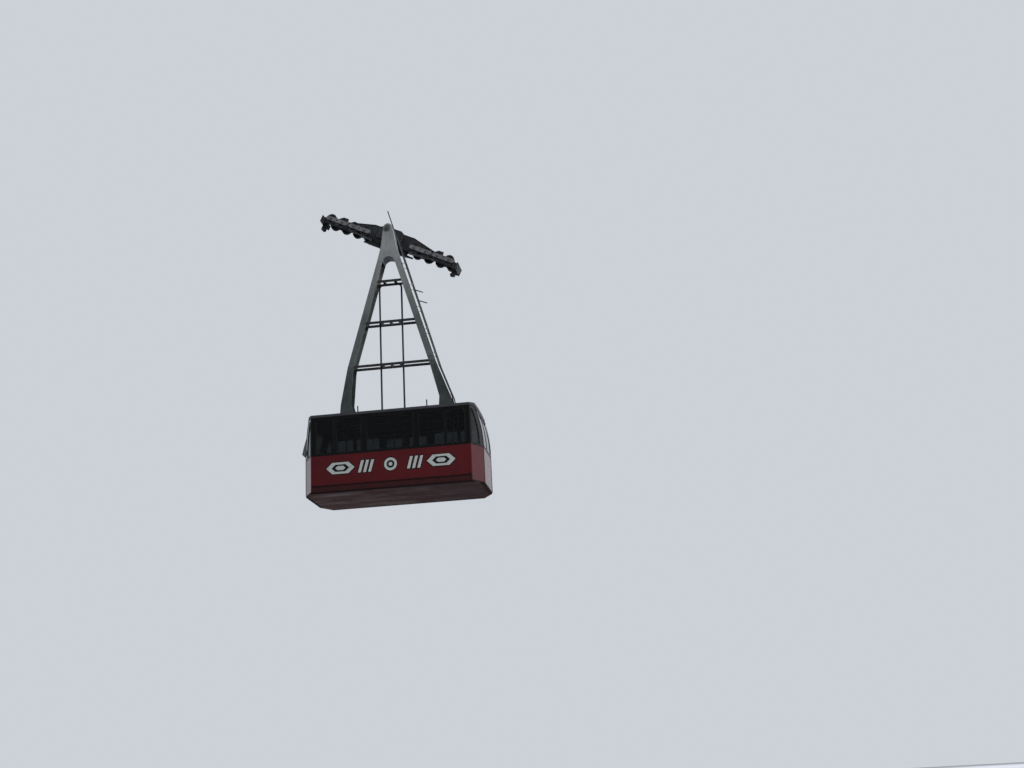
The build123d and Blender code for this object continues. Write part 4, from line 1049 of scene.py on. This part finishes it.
SOCKET_COLLARS = ((SOCKETS[0] + 0.03, 0.0385), (SOCKETS[1] - 0.035, 0.0268))
LUG_BOLTS = (-0.55, -0.2, 0.2, 0.55)
FORK_NUT = [(0, 0.020), (0.010, 0.020), (0.013, 0.016)]
BRAKE_FACE = -0.38
BRAKE_LOW_BOLTS = (-0.38, -0.19, 0.0, 0.19, 0.38)
BRAKE_LOW = 0.09
BRAKE_HIGH = (0.2, 0.31)
END_BOLTS_Y = (0.08, 0.30)
END_BOLTS_N = (0.12, 0.155)


def sloped(s, y, n):
    """Place in the frame from one along the slope, across it and up from it."""
    return (s + SLOPE_FOOT) * S + y * Y + n * N


def beam_edge(edge, s):
    """Top or bottom of the beam's side at a place along it."""
    flat, middle, end = edge
    over = max(0.0, abs(s) - flat) / (BEAM_END - flat)
    return middle + over * (end - middle)


def truck_face(middle, side):
    return lambda u, v, out: sloped(middle + u, side * (TRUCK_FACE + out), WHEEL_N + v)


def make_trucks():
    bar = rounded(-TRUCK_HALF, TRUCK_HALF, -TRUCK_RISE, TRUCK_RISE, TRUCK_RISE - 0.0005)
    for number, middle in enumerate(TRUCKS, start=1):
        piece = Piece(f"truck_{number}_rims", "carriage", "truck_paint")
        nuts = Piece(f"truck_{number}_nuts", "carriage", "galvanised", BOLTS)
        for side in (-1, 1):
            wall = truck_face(middle, side)
            piece.band(wall, bar, RIM)
            for step in (-0.5, 0.5):
                axle = step * WHEEL_PITCH
                for out, sides, profile in AXLE_FITTINGS:
                    nuts.turned(wall(axle, 0, out), side * Y, profile, sides)
                for dx in AXLE_BOLTS:
                    nuts.bolt(wall(axle + dx, 0, 0.0), side * Y, 0.007)
            for dx in PIN_BOLTS:
                nuts.bolt(wall(dx, 0.045, 0.0), side * Y, 0.008)
        piece.done()
        nuts.done()


def make_wheels():
    """Liner in each groove and ribs on each side of the web."""
    places = [middle + step * WHEEL_PITCH for middle in TRUCKS for step in (-0.5, 0.5)]
    for side, name in ((-1, "near"), (1, "far")):
        for number, s in enumerate(places, start=1):
            body = f"{name}_wheel_{number}"
            middle = sloped(s, side * TRACK_Y, WHEEL_N)
            liner = Piece(f"{body}_liner", body, "desk_plastic", RUBBER)
            liner.turned(middle, Y, LINER, 40, joined=True)
            liner.done()
            ribs = Piece(f"{body}_ribs", body, "wheel_iron")
            for turn in circle(RIBS):
                out = cos(turn) * S + sin(turn) * N
                axes = (out, out.cross(Y), Y)
                for face in (-1, 1):
                    ribs.slab(middle + RIB_MIDDLE * out + face * RIB_OUT * Y, RIB, 0.002, axes)
            ribs.done()


def make_beam_stiffeners():
    """Ribs on the beam's sides and a flange along its top edges."""
    piece = Piece("beam_stiffeners", "carriage", "carriage_paint")
    for s in STIFFENERS:
        low = beam_edge(BEAM_LOW, s) + STIFFENER_CLEAR
        high = beam_edge(BEAM_TOP, s) - STIFFENER_CLEAR
        size = (0.012, STIFFENER_OUT, high - low)
        for side in (-1, 1):
            middle = sloped(s, side * (BEAM_Y + STIFFENER_OUT / 2), (low + high) / 2)
            piece.slab(middle, size, 0.002, (S, Y, N))
    inner, outer, thick = TOP_FLANGE
    for side in (-1, 1):
        line = []
        for s in (-BEAM_END, -BEAM_TOP[0], BEAM_TOP[0], BEAM_END):
            top = beam_edge(BEAM_TOP, s)
            corners = ((inner, top - thick), (outer, top - thick), (outer, top), (inner, top))
            line.append([sloped(s, side * (BEAM_Y + out), n) for out, n in corners])
        piece.rings(line)
    piece.done()


def make_brake_springs():
    profile = [(0, 0.030)]
    for step in range(SPRING_COILS):
        profile += [(0.006 + step * SPRING_PITCH, 0.034), (0.011 + step * SPRING_PITCH, 0.026)]
    piece = Piece("brake_springs", "carriage", "shaft_steel")
    for side in (-1, 1):
        for s in SPRINGS:
            piece.turned(sloped(s, side * TRACK_Y, SPRING_FOOT), N, profile + SPRING_CAP, 20)
            piece.turned(sloped(s, side * TRACK_Y, SPRING_TOP), N, SPRING_NUT, 6)
    piece.done()


def make_socket_collars():
    """Collars on the tapered sockets, and the bolts of the lug that holds them."""
    piece = Piece("socket_collars", "carriage", "shaft_steel")
    for way in (-1, 1):
        for s, radius in SOCKET_COLLARS:
            collar = [(0, radius), (0.002, radius + 0.005), (0.020, radius + 0.005), (0.022, radius - 0.001)]
            piece.turned(sloped(way * s, 0, HAUL_N), way * S, collar, 24, joined=True)
    for s in LUG_BOLTS:
        for side in (-1, 1):
            piece.bolt(sloped(s, side * 0.018, -0.04), side * Y, 0.013)
    piece.done()


def make_carriage_bolts():
    piece = Piece("carriage_bolts", "carriage", "galvanised", BOLTS)
    for way, side in CORNERS:
        for n in END_BOLTS_N:
            for y in END_BOLTS_Y:
                piece.bolt(sloped(way * END_FACE, side * y, n), way * S, 0.011)
        piece.turned(sloped(way * ROLLER_S, side * 0.060, ROLLER_N), side * Y, FORK_NUT, 6)
    for s in BRAKE_LOW_BOLTS:
        piece.bolt(sloped(s, BRAKE_FACE, BRAKE_LOW), -Y)
    for s in (BRAKE_LOW_BOLTS[0], BRAKE_LOW_BOLTS[-1]):
        for n in BRAKE_HIGH:
            piece.bolt(sloped(s, BRAKE_FACE, n), -Y)
    piece.done()


# Vent window
HINGE_PIN = [(0, 0.006), (0.002, 0.008), (0.058, 0.008), (0.060, 0.006)]
HINGE_INSET = 0.09
STAY_V = 1.36
STAY_R = 0.004


def make_vent_fittings():
    """Hinge knuckles above the open leaf and the two stays that hold it."""
    piece = Piece("vent_fittings", "cabin", "rail_steel", TRIM)
    low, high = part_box("vent_window")
    x = -end_x(HEAD)
    for y in (low.y + HINGE_INSET, (low.y + high.y) / 2, high.y - HINGE_INSET):
        piece.turned((x - 0.006, y - 0.03, CABIN_LOW + HEAD + 0.004), Y, HINGE_PIN, 12)
    for y in (low.y - 0.002, high.y + 0.002):
        wall_end = (-end_x(STAY_V) + 0.012, y, CABIN_LOW + STAY_V)
        piece.tube([wall_end, (low.x + 0.012, y, low.z + 0.06)], STAY_R, 8)
    piece.done()


make_seals()
make_belt()
make_corner_trims()
make_roof_edges()
make_rivets()
make_rub_rail_ends()
make_ornaments("near", near, (-1.48, 1.48), (-0.72, 0.72), (0.0,))
make_ornaments("far", far, (-1.52, 1.52), (), ())
make_hatch_fittings()
make_foot_bolts()
make_door_fittings()
make_inside()
make_desk_controls()
make_hub_and_welds()
make_bar_brackets()
make_hoop_clamps()
make_ladder_clamps()
make_ladder_foot()
make_trucks()
make_wheels()
make_beam_stiffeners()
make_brake_springs()
make_socket_collars()
make_carriage_bolts()
make_vent_fittings()


# Stage: floor and sky as they show and as they light the object; lamps by name, place, size and power
FLOOR_HALF = 400
FLOOR_UNSEEN = colour(92, 94, 98)
SKY_LIGHT = (0.55, 0.57, 0.60, 1)
SKY_SHOWN = colour(204, 209, 216)
LAMP_AIM = (0, 0, -4)
LAMPS = (("key", (23, -15, 14), 14, 8200), ("rim", (18, 16, 14), 14, 3200))


def make_camera():
    flat = cos(CAMERA_PITCH)
    look = Vector((-sin(CAMERA_YAW) * flat, cos(CAMERA_YAW) * flat, sin(CAMERA_PITCH)))
    level = look.cross(Z).normalized()
    raised = level.cross(look)
    right = cos(CAMERA_ROLL) * level + sin(CAMERA_ROLL) * raised
    up = right.cross(look)
    data = bpy.data.cameras.new("camera")
    data.sensor_width = SENSOR_MM
    data.lens = FOCAL_PX / FRAME_PX * SENSOR_MM
    data.clip_end = 500
    camera = add_object("camera", data)
    turn = Matrix((right, up, -look)).transposed().to_4x4()
    camera.matrix_world = Matrix.Translation(CAMERA_POS) @ turn
    bpy.context.scene.camera = camera


def shown_rays(tree):
    """1 for rays from the camera, off gloss or through glass, and 0 for rays that light other things."""
    rays = tree.nodes.new("ShaderNodeLightPath").outputs
    share = rays["Is Camera Ray"]
    for name in ("Is Glossy Ray", "Is Transmission Ray"):
        share = add_node(tree, "ShaderNodeMath", {0: share, 1: rays[name]}, operation="MAXIMUM")
    return share


def make_floor():
    level = CAMERA_POS[2] - FLOOR_DROP
    corners = [(x * FLOOR_HALF, y * FLOOR_HALF, level) for x, y in ((-1, -1), (1, -1), (1, 1), (-1, 1))]
    mesh = bpy.data.meshes.new("floor")
    mesh.from_pydata(corners, [], [(0, 1, 2, 3)])
    paint = Paint("floor_pale", colour(214, 217, 221), 0.9, specular=0.0)
    grain = paint.noise(0.8, 4)
    pale = paint.mix(grain, colour(203, 207, 213), colour(208, 211, 217))
    paint.set("Base Color", paint.mix(shown_rays(paint.tree), FLOOR_UNSEEN, pale))
    mesh.materials.append(paint.material)
    add_object("floor", mesh)


def make_world():
    world = bpy.data.worlds.new("sky")
    bpy.context.scene.world = world
    world.use_nodes = True
    tree = world.node_tree
    sky = {0: shown_rays(tree), 6: SKY_LIGHT, 7: SKY_SHOWN}
    background = tree.nodes["Background"].inputs
    wire(tree, background["Color"], add_node(tree, "ShaderNodeMix", sky, 2, data_type="RGBA"))
    background["Strength"].default_value = 1.0


def make_lamp(name, place, size, power):
    data = bpy.data.lights.new(name, "AREA")
    data.shape = "DISK"
    data.size = size
    data.energy = power
    lamp = add_object(name, data)
    lamp.location = place
    aim = Vector(LAMP_AIM) - Vector(place)
    lamp.rotation_mode = "QUATERNION"
    lamp.rotation_quaternion = aim.to_track_quat("-Z", "Y")


make_camera()
make_floor()
make_world()
for lamp in LAMPS:
    make_lamp(*lamp)
bpy.context.scene.view_settings.view_transform = "Standard"
